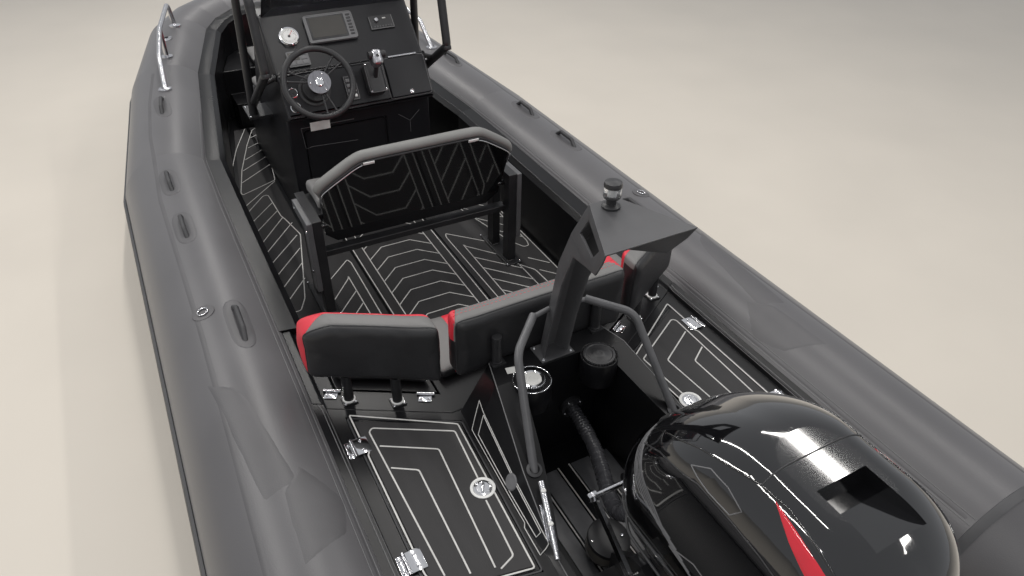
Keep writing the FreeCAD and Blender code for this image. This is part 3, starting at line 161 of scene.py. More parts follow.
# Marine vinyl, embossed with a leather grain, drawn at 2.5 mm so that it shows: grey bands
VINYL_GREY = finish("marine_vinyl_grey", "#6a6968", 0.47, patch=110, vary=0.08, relief="grain", size=2.5,
                    depth=0.4, sheen=0.08)
# The same vinyl in black for backs and sides
VINYL_BLACK = finish("marine_vinyl_black", "#232325", 0.44, patch=110, vary=0.2, relief="grain", size=2.5,
                     depth=0.4)
# The same vinyl in red for the seat panels
VINYL_RED = finish("marine_vinyl_red", "#cf2f3e", 0.45, patch=110, vary=0.08, relief="grain", size=2.5,
                   depth=0.4)
# The same vinyl in light grey, wrapped round the helm roll
VINYL_LIGHT = finish("marine_vinyl_light", "#767674", 0.5, patch=110, vary=0.07, relief="grain", size=2.5,
                     depth=0.4)
# Bonded polyester thread: each stitch has its own shade
THREAD_RED = finish("red_thread", "#cd3a42", 0.6, patch=11, vary=0.2, relief="weave", size=1.0, depth=0.2)
# Vinyl-covered piping cord: a smooth black bead
PIPING = finish("vinyl_piping", "#2c2c2e", 0.42, patch=17, vary=0.2, relief="grit", size=2.0, depth=0.15)
# Powder-coated aluminium: black with a fine pebble, drawn at 3 mm to show
METAL_BLACK = finish("powder_coat_black", "#242426", 0.38, patch=60, vary=0.2, relief="grit", size=3.0,
                     depth=0.12)
# The same powder on the mast, painted a lighter grey all over: a painted highlight for the light reflected
# on its broad top
MAST_PAINTED_HIGHLIGHT = finish("powder_coat_mast_painted_highlight", "#48484a", 0.44, patch=80, vary=0.12, relief="grit", size=3.0, depth=0.12)
# The same powder in graphite, on rails and brackets
METAL_GREY = finish("powder_coat_graphite", "#565658", 0.4, patch=60, vary=0.15, relief="grit", size=3.0,
                    depth=0.12)
# Stainless steel, polished along its length: bright with fine drawn lines
STEEL = finish("polished_stainless", "#cfcfd2", 0.2, metallic=1.0, patch=50, vary=0.08, relief="grit",
               size=6.0, depth=0.03, stretch=(1, 6, 1))
# Chrome plate: nearly a mirror, with a few finger marks
CHROME = finish("chrome_plate", "#e6e6e8", 0.1, metallic=1.0, patch=80, vary=0.05, uneven=0.05)
# Brushed aluminium: fine brush marks give a soft gleam
BRUSHED = finish("brushed_aluminium", "#b4b4b8", 0.3, metallic=1.0, patch=30, vary=0.15, relief="grit",
                 size=4.0, depth=0.06, stretch=(6, 1, 1))
# Spun aluminium of the wheel's hub: greyer, with turned rings
SPUN = finish("spun_aluminium", "#85858a", 0.36, metallic=1.0, patch=25, vary=0.18, relief="grit", size=4.0,
              depth=0.05, stretch=(5, 1, 1))
# Enamel under clear lacquer on the engine's cowl: a wet black
COWL = finish("lacquered_enamel", "#0c0c0e", 0.06, patch=330, vary=0.3, uneven=0.02, relief="grit",
              size=70.0, depth=0.03, coat=1.0)
# Sprayed enamel on cast aluminium: satin black with a pebbled casting
ENGINE = finish("cast_enamel", "#1c1c1e", 0.3, patch=120, vary=0.25, relief="grit", size=8.0, depth=0.15,
                coat=0.25)
# Red lacquer film of the stripes
RED_PAINT = finish("red_lacquer", "#c8152a", 0.14, patch=55, vary=0.1, uneven=0.04, coat=0.8)
# Moulded ABS: dark, with the tool's spark-eroded texture drawn at 2.5 mm
PLASTIC = finish("abs_black", "#28282a", 0.42, patch=40, vary=0.2, relief="grit", size=2.5, depth=0.12)
# The same ABS in mid grey
PLASTIC_GREY = finish("abs_grey", "#68686a", 0.43, patch=40, vary=0.12, relief="grit", size=2.5, depth=0.12)
# Switched-off display under cover glass: brownish grey with a clean reflection
SCREEN = finish("cover_glass", "#3d3a35", 0.1, patch=160, vary=0.15, uneven=0.04, coat=1.0)
# Moulded white nylon: clean, with a low gloss
WHITE = finish("nylon_white", "#dcdcda", 0.37, patch=33, vary=0.05, relief="grit", size=3.0, depth=0.06)
# Blank label film on the small plates: pale and smooth
PALE = finish("label_film", "#c4c4c1", 0.4, patch=25, vary=0.08, relief="grit", size=3.0, depth=0.05)
# Blown polyethylene of the corrugated hose: waxy black, lightened to dark grey as a painted sheen for the
# light each ridge catches
HOSE = finish("blown_polyethylene_painted_sheen", "#3b3b3e", 0.26, patch=25, vary=0.2, relief="grit", size=4.0,
              depth=0.12)
# Cast acrylic, smoked: dark and clear at once
SMOKE = finish("smoked_acrylic", "#505054", 0.06, ior=1.49, patch=250, vary=0.1, uneven=0.03, clear=0.92)
# Moulded polycarbonate bowl with a brown haze of fuel
BOWL = finish("hazed_polycarbonate", "#96918a", 0.16, ior=1.58, patch=120, vary=0.15, uneven=0.06,
              clear=0.45)
# Clear polycarbonate of the light's lens: colourless, with bright edges
CLEAR = finish("clear_polycarbonate", "#edeff2", 0.07, ior=1.58, patch=80, vary=0.04, uneven=0.03,
               clear=0.85)
# Cast propeller, painted: black with rubbed edges
PROP = finish("painted_casting", "#222224", 0.3, patch=70, vary=0.3, relief="grit", size=11.0, depth=0.1,
              coat=0.25)
# Plain painted floor
FLOOR = finish("floor", "#cbc4b9", 0.5, patch=830, vary=0.03, relief="grit", size=25.0, depth=0.1)

# Ways of making pieces


def add(name, verts, faces, mats, body, ids=None, smooth=True):
    """Mesh piece in the row frame that rides on a body."""
    mesh = bpy.data.meshes.new(name)
    mesh.from_pydata([tuple(v) for v in verts], [], faces)
    mesh.validate()
    obj = bpy.data.objects.new(name, mesh)
    scene.collection.objects.link(obj)
    for mat in (mats if isinstance(mats, list) else [mats]):
        mesh.materials.append(mat)
    mesh.polygons.foreach_set("use_smooth", [smooth] * len(mesh.polygons))
    if ids:
        mesh.polygons.foreach_set("material_index", ids)
    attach(obj, body)
    return obj


def from_bm(name, bm, mats, body, smooth=True):
    """Mesh piece from a bmesh."""
    mesh = bpy.data.meshes.new(name)
    bmesh.ops.recalc_face_normals(bm, faces=bm.faces)
    bm.to_mesh(mesh)
    bm.free()
    obj = bpy.data.objects.new(name, mesh)
    scene.collection.objects.link(obj)
    for mat in (mats if isinstance(mats, list) else [mats]):
        mesh.materials.append(mat)
    mesh.polygons.foreach_set("use_smooth", [smooth] * len(mesh.polygons))
    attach(obj, body)
    return obj


def basis(axis, hint=Vector((0, 0, 1))):
    """Rotation whose third column is the axis."""
    w = Vector(axis).normalized()
    hint = Vector(hint)
    if abs(w.dot(hint)) > 0.98:
        hint = Vector((1, 0, 0))
    u = hint.cross(w).normalized()
    return Matrix((u, w.cross(u), w)).transposed()


def turned(bm, centre, axis, profile, segments, mat=0):
    """Adds a solid turned about an axis from (radius, height) points."""
    spin = basis(axis)
    rings = []
    for radius, height in profile:
        if radius < 1e-6:
            rings.append([bm.verts.new(Vector(centre) + spin @ Vector((0, 0, height)))])
            continue
        ring = []
        for i in range(segments):
            a = 2 * math.pi * i / segments
            offset = Vector((radius * math.cos(a), radius * math.sin(a), height))
            ring.append(bm.verts.new(Vector(centre) + spin @ offset))
        rings.append(ring)
    for low, high in zip(rings, rings[1:]):
        for i in range(segments):
            j = (i + 1) % segments
            if len(low) == 1:
                face = bm.faces.new((low[0], high[i], high[j]))
            elif len(high) == 1:
                face = bm.faces.new((low[i], low[j], high[0]))
            else:
                face = bm.faces.new((low[i], low[j], high[j], high[i]))
            face.material_index = mat


def lathe(name, centre, axis, profile, mat, body, segments=40):
    """Turned piece."""
    bm = bmesh.new()
    turned(bm, centre, axis, profile, segments)
    obj = from_bm(name, bm, mat, body)
    sharpen(obj)
    return obj


def sharpen(obj, angle=38):
    """Smooth shading that keeps edges over an angle crisp."""
    mesh = obj.data
    bm = bmesh.new()
    bm.from_mesh(mesh)
    for edge in bm.edges:
        if len(edge.link_faces) == 2 and edge.calc_face_angle(0) > math.radians(angle):
            edge.smooth = False
    bm.to_mesh(mesh)
    bm.free()


SCREW = [(0, 0.3), (0.32, 0.3), (0.4, 0.85), (0.66, 0.8), (0.9, 0.5), (1, 0)]


def screws(name, rows, mat, body, segments=12):
    """Socket screws from (centre, axis, radius) rows."""
    bm = bmesh.new()
    for centre, axis, radius in rows:
        turned(bm, centre, axis, [(r * radius, h * radius * 0.6) for r, h in SCREW], segments)
    return from_bm(name, bm, mat, body)


def slab(name, origin, spin, lo, hi, bevel, mat, body, segments=3):
    """Block with rounded edges, in a turned frame."""
    bm = bmesh.new()
    bmesh.ops.create_cube(bm, size=1)
    for v in bm.verts:
        v.co = Vector([lo[i] if v.co[i] < 0 else hi[i] for i in range(3)])
    bmesh.ops.bevel(bm, geom=bm.edges[:], offset=bevel, segments=segments, profile=0.5, affect="EDGES")
    for v in bm.verts:
        v.co = Vector(origin) + spin @ v.co
    obj = from_bm(name, bm, mat, body)
    sharpen(obj)
    return obj


FLAT = Matrix.Identity(3)


def rounded(points, radius, closed=False, steps=3):
    """Polyline with its corners rounded."""
    points = [Vector(p) for p in points]
    if radius <= 0 or len(points) < 3:
        return points
    count = len(points)
    out = [] if closed else [points[0]]
    for i in (range(count) if closed else range(1, count - 1)):
        a, b, c = points[i - 1], points[i], points[(i + 1) % count]
        reach = min(radius, (a - b).length * 0.45, (c - b).length * 0.45)
        p = b + (a - b).normalized() * reach
        q = b + (c - b).normalized() * reach
        for s in range(steps + 1):
            t = s / steps
            out.append(p * (1 - t) ** 2 + b * (2 * t * (1 - t)) + q * t ** 2)
    if not closed:
        out.append(points[-1])
    return out


def ribbons(name, rows, width, mat, body, up=Vector((0, 0, 1)), height=0.0006):
    """Inlaid strips along polylines; a row is (points, closed)."""
    verts = []
    faces = []
    for points, closed in rows:
        count = len(points)
        start = len(verts)
        for i, p in enumerate(points):
            before = points[i - 1] if (i or closed) else p
            after = points[(i + 1) % count] if (i < count - 1 or closed) else p
            d0 = (p - before).normalized() if (p - before).length > 1e-9 else (after - p).normalized()
            d1 = (after - p).normalized() if (after - p).length > 1e-9 else d0
            d = (d0 + d1).normalized()
            side = up.cross(d).normalized() * (width / 2) / max(0.5, d.dot(d0))
            verts += [p - side, p - side * 0.8 + up * height, p + side * 0.8 + up * height, p + side]
        for i in range(count if closed else count - 1):
            a = start + 4 * i
            b = start + 4 * ((i + 1) % count)
            for k in range(3):
                faces.append((a + k, b + k, b + k + 1, a + k + 1))
    return add(name, verts, faces, mat, body, smooth=False)


def pipe(name, points, radius, mat, body, order=3, closed=False, fine=4):
    """Round bar along a smooth line."""
    curve = bpy.data.curves.new(name, "CURVE")
    curve.dimensions = "3D"
    curve.bevel_depth = radius
    curve.bevel_resolution = fine
    curve.resolution_u = 6
    curve.use_fill_caps = True
    spline = curve.splines.new("POLY" if order < 3 else "NURBS")
    spline.points.add(len(points) - 1)
    for target, p in zip(spline.points, points):
        target.co = (*p, 1)
    if order >= 3:
        spline.order_u = order
        spline.use_endpoint_u = not closed
    spline.use_cyclic_u = closed
    curve.materials.append(mat)
    obj = bpy.data.objects.new(name, curve)
    scene.collection.objects.link(obj)
    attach(obj, body)
    return obj


def mirror(points):
    """Points on the other side of the centreline."""
    return [Vector((-p[0], p[1], p[2])) for p in points]


surfaces = {}


def surface(*names):
    """Search tree over CAD nodes."""
    if names not in surfaces:
        verts = []
        faces = []
        for name in names:
            mesh = nodes[name].data
            base = len(verts)
            verts += [v.co.copy() for v in mesh.vertices]
            faces += [tuple(base + i for i in p.vertices) for p in mesh.polygons]
        surfaces[names] = BVHTree.FromPolygons(verts, faces)
    return surfaces[names]


def snapped(point, tree, lift=0.0):
    """Nearest surface point, lifted along the normal."""
    location, normal, index, distance = tree.find_nearest(Vector(point))
    if (Vector(point) - location).dot(normal) < 0 and (Vector(point) - location).length > 0.03:
        normal = -normal
    return location + normal * lift, normal


def sampled(points, step):
    """Polyline divided into even short runs."""
    out = []
    for a, b in zip(points, points[1:]):
        count = max(1, int((b - a).length / step))
        out += [a.lerp(b, i / count) for i in range(count)]
    return out + [points[-1]]


def skin_line(name, points, tree, radius, mat, body, lift=0.0, step=0.012):
    """Thin round line that follows a surface."""
    path = [snapped(p, tree, lift)[0] for p in sampled([Vector(p) for p in points], step)]
    return pipe(name, path, radius, mat, body, order=2, fine=1)


def skin_patch(name, left, right, tree, mat, body, lift=0.0008, across=8, along=24, skirt=0.002):
    """Thin sheet between two edge lines, laid on a surface, with its rim turned down."""
    def along_line(points, t):
        """Point at a share of the line's length."""
        lengths = [(b - a).length for a, b in zip(points, points[1:])]
        target = t * sum(lengths)
        for (a, b), length in zip(zip(points, points[1:]), lengths):
            if target <= length + 1e-9:
                return a.lerp(b, target / max(length, 1e-9))
            target -= length
        return points[-1]
    left = [Vector(p) for p in left]
    right = [Vector(p) for p in right]
    verts = []
    for i in range(along + 1):
        a = along_line(left, i / along)
        b = along_line(right, i / along)
        for j in range(across + 1):
            rim = i in (0, along) or j in (0, across)
            verts.append(snapped(a.lerp(b, j / across), tree, -skirt if rim else lift)[0])
    faces = [(i * (across + 1) + j, (i + 1) * (across + 1) + j, (i + 1) * (across + 1) + j + 1,
              i * (across + 1) + j + 1) for i in range(along) for j in range(across)]
    return add(name, verts, faces, mat, body)


def soften(name, width, segments=2, angle=32):
    """Rounds the crisp edges of a CAD node."""
    obj = nodes[name]
    weld = obj.modifiers.new("weld", "WELD")
    weld.merge_threshold = 0.00002
    bevel = obj.modifiers.new("bevel", "BEVEL")
    bevel.width = width
    bevel.segments = segments
    bevel.limit_method = "ANGLE"
    bevel.angle_limit = math.radians(angle)
    bevel.harden_normals = True
    bevel.use_clamp_overlap = True


# Hose with its corrugations, from the well's wall to the cowl
HOSE_VALLEY = 0.0212
HOSE_RIDGE = 0.0262
HOSE_PITCH = 0.0125
HOSE_ROUTE = [(0.059, -1.930, 0.413), (0.052, -2.060, 0.402), (0.010, -2.200, 0.408),
              (-0.052, -2.330, 0.440), (-0.094, -2.430, 0.500), (-0.102, -2.490, 0.590),
              (-0.100, -2.515, 0.665)]
guide = bpy.data.curves.new("guide", "CURVE")
guide.dimensions = "3D"
guide.resolution_u = 24
spline = guide.splines.new("NURBS")
spline.points.add(len(HOSE_ROUTE) - 1)
for target, p in zip(spline.points, HOSE_ROUTE):
    target.co = (*p, 1)
spline.order_u = 3
spline.use_endpoint_u = True
guide_object = bpy.data.objects.new("guide", guide)
scene.collection.objects.link(guide_object)
traced = bpy.data.meshes.new_from_object(guide_object)
hose_line = [v.co.copy() for v in traced.vertices]
bpy.data.objects.remove(guide_object)


def corrugated(name, line, inner, outer, pitch, mat, body, segments=20):
    """Ribbed hose along a line of points."""
    path = sampled(line, pitch / 4)
    verts = []
    faces = []
    travelled = 0.0
    side = None
    for i, p in enumerate(path):
        ahead = (path[min(i + 1, len(path) - 1)] - path[max(i - 1, 0)]).normalized()
        if i:
            travelled += (p - path[i - 1]).length
        side = ahead.orthogonal() if side is None else (side - ahead * side.dot(ahead))
        side.normalize()
        other = ahead.cross(side)
        wave = 0.5 + 0.5 * math.cos(2 * math.pi * travelled / pitch)
        radius = inner + (outer - inner) * wave
        for k in range(segments):
            a = 2 * math.pi * k / segments
            verts.append(p + side * (radius * math.cos(a)) + other * (radius * math.sin(a)))
    for i in range(len(path) - 1):
        for k in range(segments):
            n = (k + 1) % segments
            faces.append((i * segments + k, i * segments + n, (i + 1) * segments + n,
                          (i + 1) * segments + k))
    faces.append(tuple(range(segments)))
    faces.append(tuple((len(path) - 1) * segments + k for k in reversed(range(segments))))
    return add(name, verts, faces, mat, body)


# The hose's dark grey is partly a painted sheen
hose = corrugated("hose_corrugated", hose_line, HOSE_VALLEY, HOSE_RIDGE, HOSE_PITCH, HOSE, "boat")
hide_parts("rigging_hose")

# Floor and light
FLOOR_HALF = 14
SKY_STRENGTH = 0.62
LAMP_TINT = (1.0, 0.97, 0.93)
ground = bpy.data.meshes.new("ground")
corners = [(x * FLOOR_HALF, y * FLOOR_HALF, 0) for x, y in ((-1, -1), (1, -1), (1, 1), (-1, 1))]
ground.from_pydata(corners, [], [(0, 1, 2, 3)])
floor = bpy.data.objects.new("floor", ground)
scene.collection.objects.link(floor)
ground.materials.append(FLOOR)
world = bpy.data.worlds.new("studio")
world.use_nodes = True
sky = world.node_tree.nodes["Background"]
sky.inputs["Color"].default_value = linear("#e6e8ec")
sky.inputs["Strength"].default_value = SKY_STRENGTH
scene.world = world
# Strip lamps; columns: place, aim, width, length, watts
LAMPS = (((-3.2, 0.5, 5.2), (-0.6, -0.5, 0.3), 0.12, 8.0, 150),
         ((0.4, 1.5, 5.4), (0.0, -0.6, 0.4), 0.08, 8.0, 135),
         ((3.6, -1.5, 5.2), (0.6, -1.0, 0.4), 0.12, 8.0, 105),
         ((-1.0, -7.5, 4.6), (0.0, -1.5, 0.4), 4.0, 0.12, 60))
for index, (spot, aim, wide, long, power) in enumerate(LAMPS):
    lamp = bpy.data.lights.new("lamp_%d" % index, "AREA")
    lamp.shape = "RECTANGLE"
    lamp.size = wide
    lamp.size_y = long
    lamp.energy = power
    lamp.color = LAMP_TINT
    holder = bpy.data.objects.new(lamp.name, lamp)
    holder.matrix_world = basis(Vector(spot) - Vector(aim), Vector((0, 1, 0))).to_4x4()
    holder.location = spot
    scene.collection.objects.link(holder)

# Materials of the CAD nodes
LOOKS = {
    TUBE: ["tube_port", "tube_starboard", "tube_bow"],
    PATCH: ["tube_cone_port", "tube_cone_starboard"],
    STRAKE: ["rub_strake"],
    RUBBER: ["tube_handles"],
    HULL: ["hull"],
    GELCOAT: ["deck_liner", "aft_deck", "bench_base", "bench_lid_port", "bench_lid_starboard",
              "hatch_lid_port", "hatch_lid_starboard", "bow_locker", "bow_lid"],
    CONSOLE: ["console_body", "glovebox_lid"],
    EVA: ["floor_pads", "hatch_pad_port", "hatch_pad_starboard"],
    METAL_BLACK: ["console_frame", "helm_seat_frame", "backrest_posts"],
    # The mast's lighter grey is a painted highlight
    MAST_PAINTED_HIGHLIGHT: ["light_mast"],
    METAL_GREY: ["grab_rails", "helm_side_brackets"],
    STEEL: ["bow_rails", "bow_eye", "cleats", "steering_rod", "lid_hinges"],
    PLASTIC: ["throttle", "steering_hub", "steering_wheel", "deck_caps", "hose_flange", "dash_panels",
              "anchor_light"],
    PLASTIC_GREY: ["chart_plotter"],
    SMOKE: ["windscreen"],
    COWL: ["cowl", "helm_backrest"],
    ENGINE: ["clamp_bracket", "swivel_bracket", "outboard_leg", "steering_cylinder"],
    PROP: ["propeller"],
}
for look, names in LOOKS.items():
    for name in names:
        for holder in nodes[name].material_slots:
            holder.material = look
# Edge roundings of the CAD nodes
EDGES = (("console_body", 0.012), ("glovebox_lid", 0.006), ("aft_deck", 0.006), ("bench_base", 0.006),
         ("deck_liner", 0.008), ("helm_backrest", 0.006), ("light_mast", 0.002), ("bow_locker", 0.008),
         ("hatch_lid_port", 0.003), ("hatch_lid_starboard", 0.003), ("floor_pads", 0.002),
         ("hatch_pad_port", 0.003), ("hatch_pad_starboard", 0.003), ("helm_seat_frame", 0.004),
         ("helm_side_brackets", 0.005), ("chart_plotter", 0.001), ("clamp_bracket", 0.004),
         ("swivel_bracket", 0.004), ("hull", 0.004), ("rub_strake", 0.003), ("outboard_leg", 0.002))
for name, width in EDGES:
    soften(name, width)

# Lines of the floor pads; each is drawn to port and mirrored
PAD_Z = 0.1562
GROOVE = 0.0052
floor_rows = []


def on_floor(points, closed=False, radius=0.012, both=True):
    """Queues a line of the floor pads."""
    line = rounded([(x, y, PAD_Z) for x, y in points], radius, closed)
    floor_rows.append((line, closed))
    if both:
        floor_rows.append((mirror(line), closed))


for k in range(-4, 9):
    y = -0.396 - 0.1037 * k
    on_floor([(-0.170, y), (-0.079, y + 0.088), (0.079, y + 0.088), (0.170, y)], radius=0, both=False)
on_floor([(-0.170, 0.03), (-0.170, -1.350)], radius=0)
on_floor([(-0.219, 0.03), (-0.219, -1.350)], radius=0)
on_floor([(-0.409, 1.473), (-0.524, 1.177), (-0.619, 0.847), (-0.650, 0.48), (-0.649, 0.394),
          (-0.649, 0.252), (-0.649, -1.165)], radius=0.05)
on_floor([(-0.327, 1.47), (-0.293, 1.471), (-0.303, 1.369), (-0.398, 0.666), (-0.605, 0.568),
          (-0.611, 0.597), (-0.547, 0.883), (-0.446, 1.22), (-0.368, 1.437)], closed=True)
for a, b in (((-0.406, 1.317), (-0.299, 1.385)), ((-0.45, 1.173), (-0.316, 1.255)),
             ((-0.502, 1.01), (-0.328, 1.145)), ((-0.544, 0.867), (-0.344, 1.024)),
             ((-0.581, 0.716), (-0.362, 0.895)), ((-0.635, 0.414), (-0.401, 0.654))):
    on_floor([a, b], radius=0)
on_floor([(-0.455, 0.195), (-0.467, 0.237), (-0.477, 0.504), (-0.505, 0.505), (-0.632, 0.342),
          (-0.632, -0.594), (-0.620, -0.641), (-0.590, -0.641), (-0.549, -0.557), (-0.421, 0.005)],
         closed=True)
for a, b in (((-0.632, 0.228), (-0.478, 0.402)), ((-0.632, 0.117), (-0.474, 0.3)),
             ((-0.632, -0.007), (-0.46, 0.221)), ((-0.632, -0.109), (-0.43, 0.142)),
             ((-0.632, -0.216), (-0.439, 0.005)), ((-0.632, -0.331), (-0.458, -0.126)),
             ((-0.632, -0.447), (-0.485, -0.265)), ((-0.632, -0.555), (-0.506, -0.398))):
    on_floor([a, b], radius=0)
on_floor([(-0.263, -0.375), (-0.273, -0.339), (-0.453, -0.523), (-0.447, -0.706), (-0.541, -0.85),
          (-0.556, -1.215)])
on_floor([(-0.313, -0.482), (-0.319, -0.50), (-0.489, -0.709), (-0.500, -1.255)])
on_floor([(-0.263, -0.375), (-0.275, -1.350)], radius=0)
on_floor([(-0.313, -0.482), (-0.313, -1.350)], radius=0)
for k in range(5):
    y = -0.66 - 0.104 * k
    on_floor([(-0.313, y + 0.05), (-0.495, y - 0.155)], radius=0)
for k in range(3):
    y = -0.74 - 0.12 * k
    on_floor([(-0.560, y), (-0.636, y - 0.09)], radius=0)
on_floor([(-0.34, 1.24), (-0.34, 1.465), (0.34, 1.465), (0.34, 1.24)], closed=True, both=False, radius=0.03)
for k in range(4):
    x = -0.25 + 0.125 * k
    on_floor([(x, 1.25), (x + 0.062, 1.36), (x + 0.125, 1.25)], radius=0, both=False)
ribbons("floor_lines", floor_rows, GROOVE, LINE, "boat")

# Lines, hinges and latches of the aft hatches
HATCH_Z = 0.4863
SEAL_Z = 0.4795
HATCH_SEAL = ((0.668, -1.697), (0.337, -1.884), (0.370, -2.474), (0.668, -2.416))
HATCH_LINES = [
    [(-0.677, -1.706), (-0.662, -1.693), (-0.318, -1.891), (-0.352, -2.460), (-0.640, -2.410),
     (-0.663, -2.339), (-0.675, -1.881), (-0.646, -1.864), (-0.645, -1.842), (-0.656, -1.817),
     (-0.677, -1.811)],
    [(-0.612, -2.369), (-0.624, -1.792), (-0.610, -1.780), (-0.376, -1.915), (-0.392, -2.119)],
    [(-0.406, -2.202), (-0.420, -2.400), (-0.469, -2.420)],
    [(-0.613, -1.863), (-0.452, -1.960), (-0.481, -2.410)],
    [(-0.612, -1.961), (-0.539, -2.008), (-0.548, -2.395)],
]


def inside_hatch(x, y):
    """The port side offset of a point, kept a little inside the pad's edge."""
    outer = -0.658
    inner = -(0.352 + 0.033 * (-1.878 - y) / 0.6)
    return max(outer, min(inner - 0.002, x))


for side, tag in SIDES:
    body = "hatch_" + tag
    rows = []
    for number, line in enumerate(HATCH_LINES):
        points = [(-side * inside_hatch(x, y), y, HATCH_Z) for x, y in line]
        rows.append((rounded(points, 0.008, number == 0), number == 0))
    ribbons("hatch_lines_" + tag, rows, GROOVE, LINE, body)
    centre = (side * 0.395, -2.159, 0.4860)
    lathe("latch_ring_" + tag, centre, (0, 0, 1),
          [(0.0385, 0), (0.0385, 0.0025), (0.036, 0.0035), (0.031, 0.003), (0.029, 0.0005)], WHITE, body)
    lathe("latch_disc_" + tag, centre, (0, 0, 1),
          [(0.029, 0), (0.028, 0.002), (0.021, 0.0035), (0.02, 0.0025), (0.006, 0.003), (0, 0.003)], CHROME,
          body)
    slab("latch_lever_" + tag, (side * 0.395, -2.159, 0.489), basis((0, 0, 1), (0.6, 1, 0)),
         (-0.004, -0.017, 0), (0.004, 0.017, 0.003), 0.0012, CHROME, body)
    # Two hinges, each with a leaf on the hatch and one on the deck; columns: x from, x to, body, height
    leaves = ((0.640, 0.686, body, 0.4862), (0.694, 0.712, "boat", 0.4802))
    for y in (-1.836, -2.290):
        for leaf, (x0, x1, owner, z) in enumerate(leaves):
            lo = (min(side * x0, side * x1), y - 0.034, 0)
            hi = (max(side * x0, side * x1), y + 0.034, 0.003)
            slab("hinge_leaf_%s_%d_%d" % (tag, leaf, -y * 1000), (0, 0, z), FLAT, lo, hi, 0.0012, CHROME,
                 owner, 2)
            screws("hinge_screws_%s_%d_%d" % (tag, leaf, -y * 1000),
                   [((side * (x0 + x1) / 2, y + s, z + 0.003), (0, 0, 1), 0.0055) for s in (-0.02, 0.02)],
                   STEEL, owner)
    seal = rounded([(side * x, y, SEAL_Z) for x, y in HATCH_SEAL], 0.01, True)
    ribbons("hatch_seal_" + tag, [(seal, True)], 0.006, RUBBER, "boat", height=0.002)

# Coaming flanks: two thin outlines, a latch and a pale bead along the top edge
FLANK_LINES = (((0.268, -1.90, 0.56), (0.334, -1.935, 0.492), (0.352, -2.43, 0.488), (0.322, -2.42, 0.50)),
               ((0.279, -1.955, 0.55), (0.320, -1.975, 0.50), (0.340, -2.38, 0.49), (0.322, -2.38, 0.50)))
COAMING_EDGE = ((0.215, -1.842, 0.656), (0.242, -1.950, 0.656), (0.292, -2.222, 0.566),
                (0.318, -2.450, 0.490), (0.324, -2.556, 0.490))
deck_tree = surface("aft_deck")
for side, tag in SIDES:
    for number, corners in enumerate(FLANK_LINES):
        path = [Vector((side * x, y, z)) for x, y, z in corners]
        skin_line("flank_line_%s_%d" % (tag, number), path + path[:1], deck_tree, 0.0016, LINE, "boat")
    middle, normal = snapped((side * 0.325, -2.20, 0.52), deck_tree)
    lathe("flank_latch_" + tag, middle, normal,
          [(0.026, -0.001), (0.026, 0.002), (0.022, 0.004), (0.017, 0.003), (0.008, 0.0045), (0, 0.005)],
          PLASTIC_GREY, "boat", 28)
    edge = [(side * x, y, z) for x, y, z in COAMING_EDGE]
    skin_line("coaming_bead_" + tag, edge, deck_tree, 0.0018, TAPE_AND_EDGE_HIGHLIGHT, "boat")

# Deck caps on the bulkhead, each in a beaded pocket
CAP_Y = -1.973
POCKET_RADIUS = 0.0615
# Columns: name, x, radius, rim, middle
CAPS = (("cap_port", -0.128, 0.040, CHROME, PALE), ("cap_starboard", 0.128, 0.052, PLASTIC, PLASTIC))
for name, x, radius, rim, middle in CAPS:
    centre = (x, CAP_Y, 0.661)
    bm = bmesh.new()
    notches = 36
    for i in range(notches):
        a = 2 * math.pi * i / notches
        turned(bm, (x + radius * math.cos(a), CAP_Y + radius * math.sin(a), 0.650), (0, 0, 1),
               [(0.0028, 0), (0.0028, 0.011), (0, 0.012)], 6)
    from_bm(name + "_grip", bm, rim, "boat")
    lathe(name + "_rim", centre, (0, 0, 1),
          [(radius + 0.001, -0.002), (radius + 0.001, 0.002), (radius - 0.006, 0.0035),
           (radius - 0.009, 0.001)], rim, "boat")
    lathe(name + "_face", centre, (0, 0, 1),
          [(radius - 0.009, 0.0005), (radius * 0.45, 0.002), (radius * 0.42, 0.0032), (0.009, 0.0032),
           (0.008, 0.002), (0, 0.002)], middle, "boat")
    turn = [t * math.pi / 18 for t in range(36)]
    ring = [(x + POCKET_RADIUS * math.cos(t), CAP_Y + POCKET_RADIUS * math.sin(t), 0.6565) for t in turn]
    pipe(name + "_pocket_bead", ring, 0.0022, CHROME if x < 0 else GELCOAT, "boat", closed=True, fine=2)
slab("deck_label", (-0.165, -1.905, 0.6562), basis((0, 0, 1), (0.2, 1, 0)), (-0.018, -0.014, 0),
     (0.018, 0.014, 0.001), 0.0004, PALE, "boat", 1)

# Cushions; a pad's paint picks from these vinyls by place. Sizes are metres
VINYLS = [VINYL_BLACK, VINYL_GREY, VINYL_RED]
GRID_CELL = 0.014
VOXEL = 0.010
SIMULATED_FRAMES = 14
SEAM_HALF = 0.007
SEAM_DEPTH = 0.0022
STITCH_STEP = 0.004


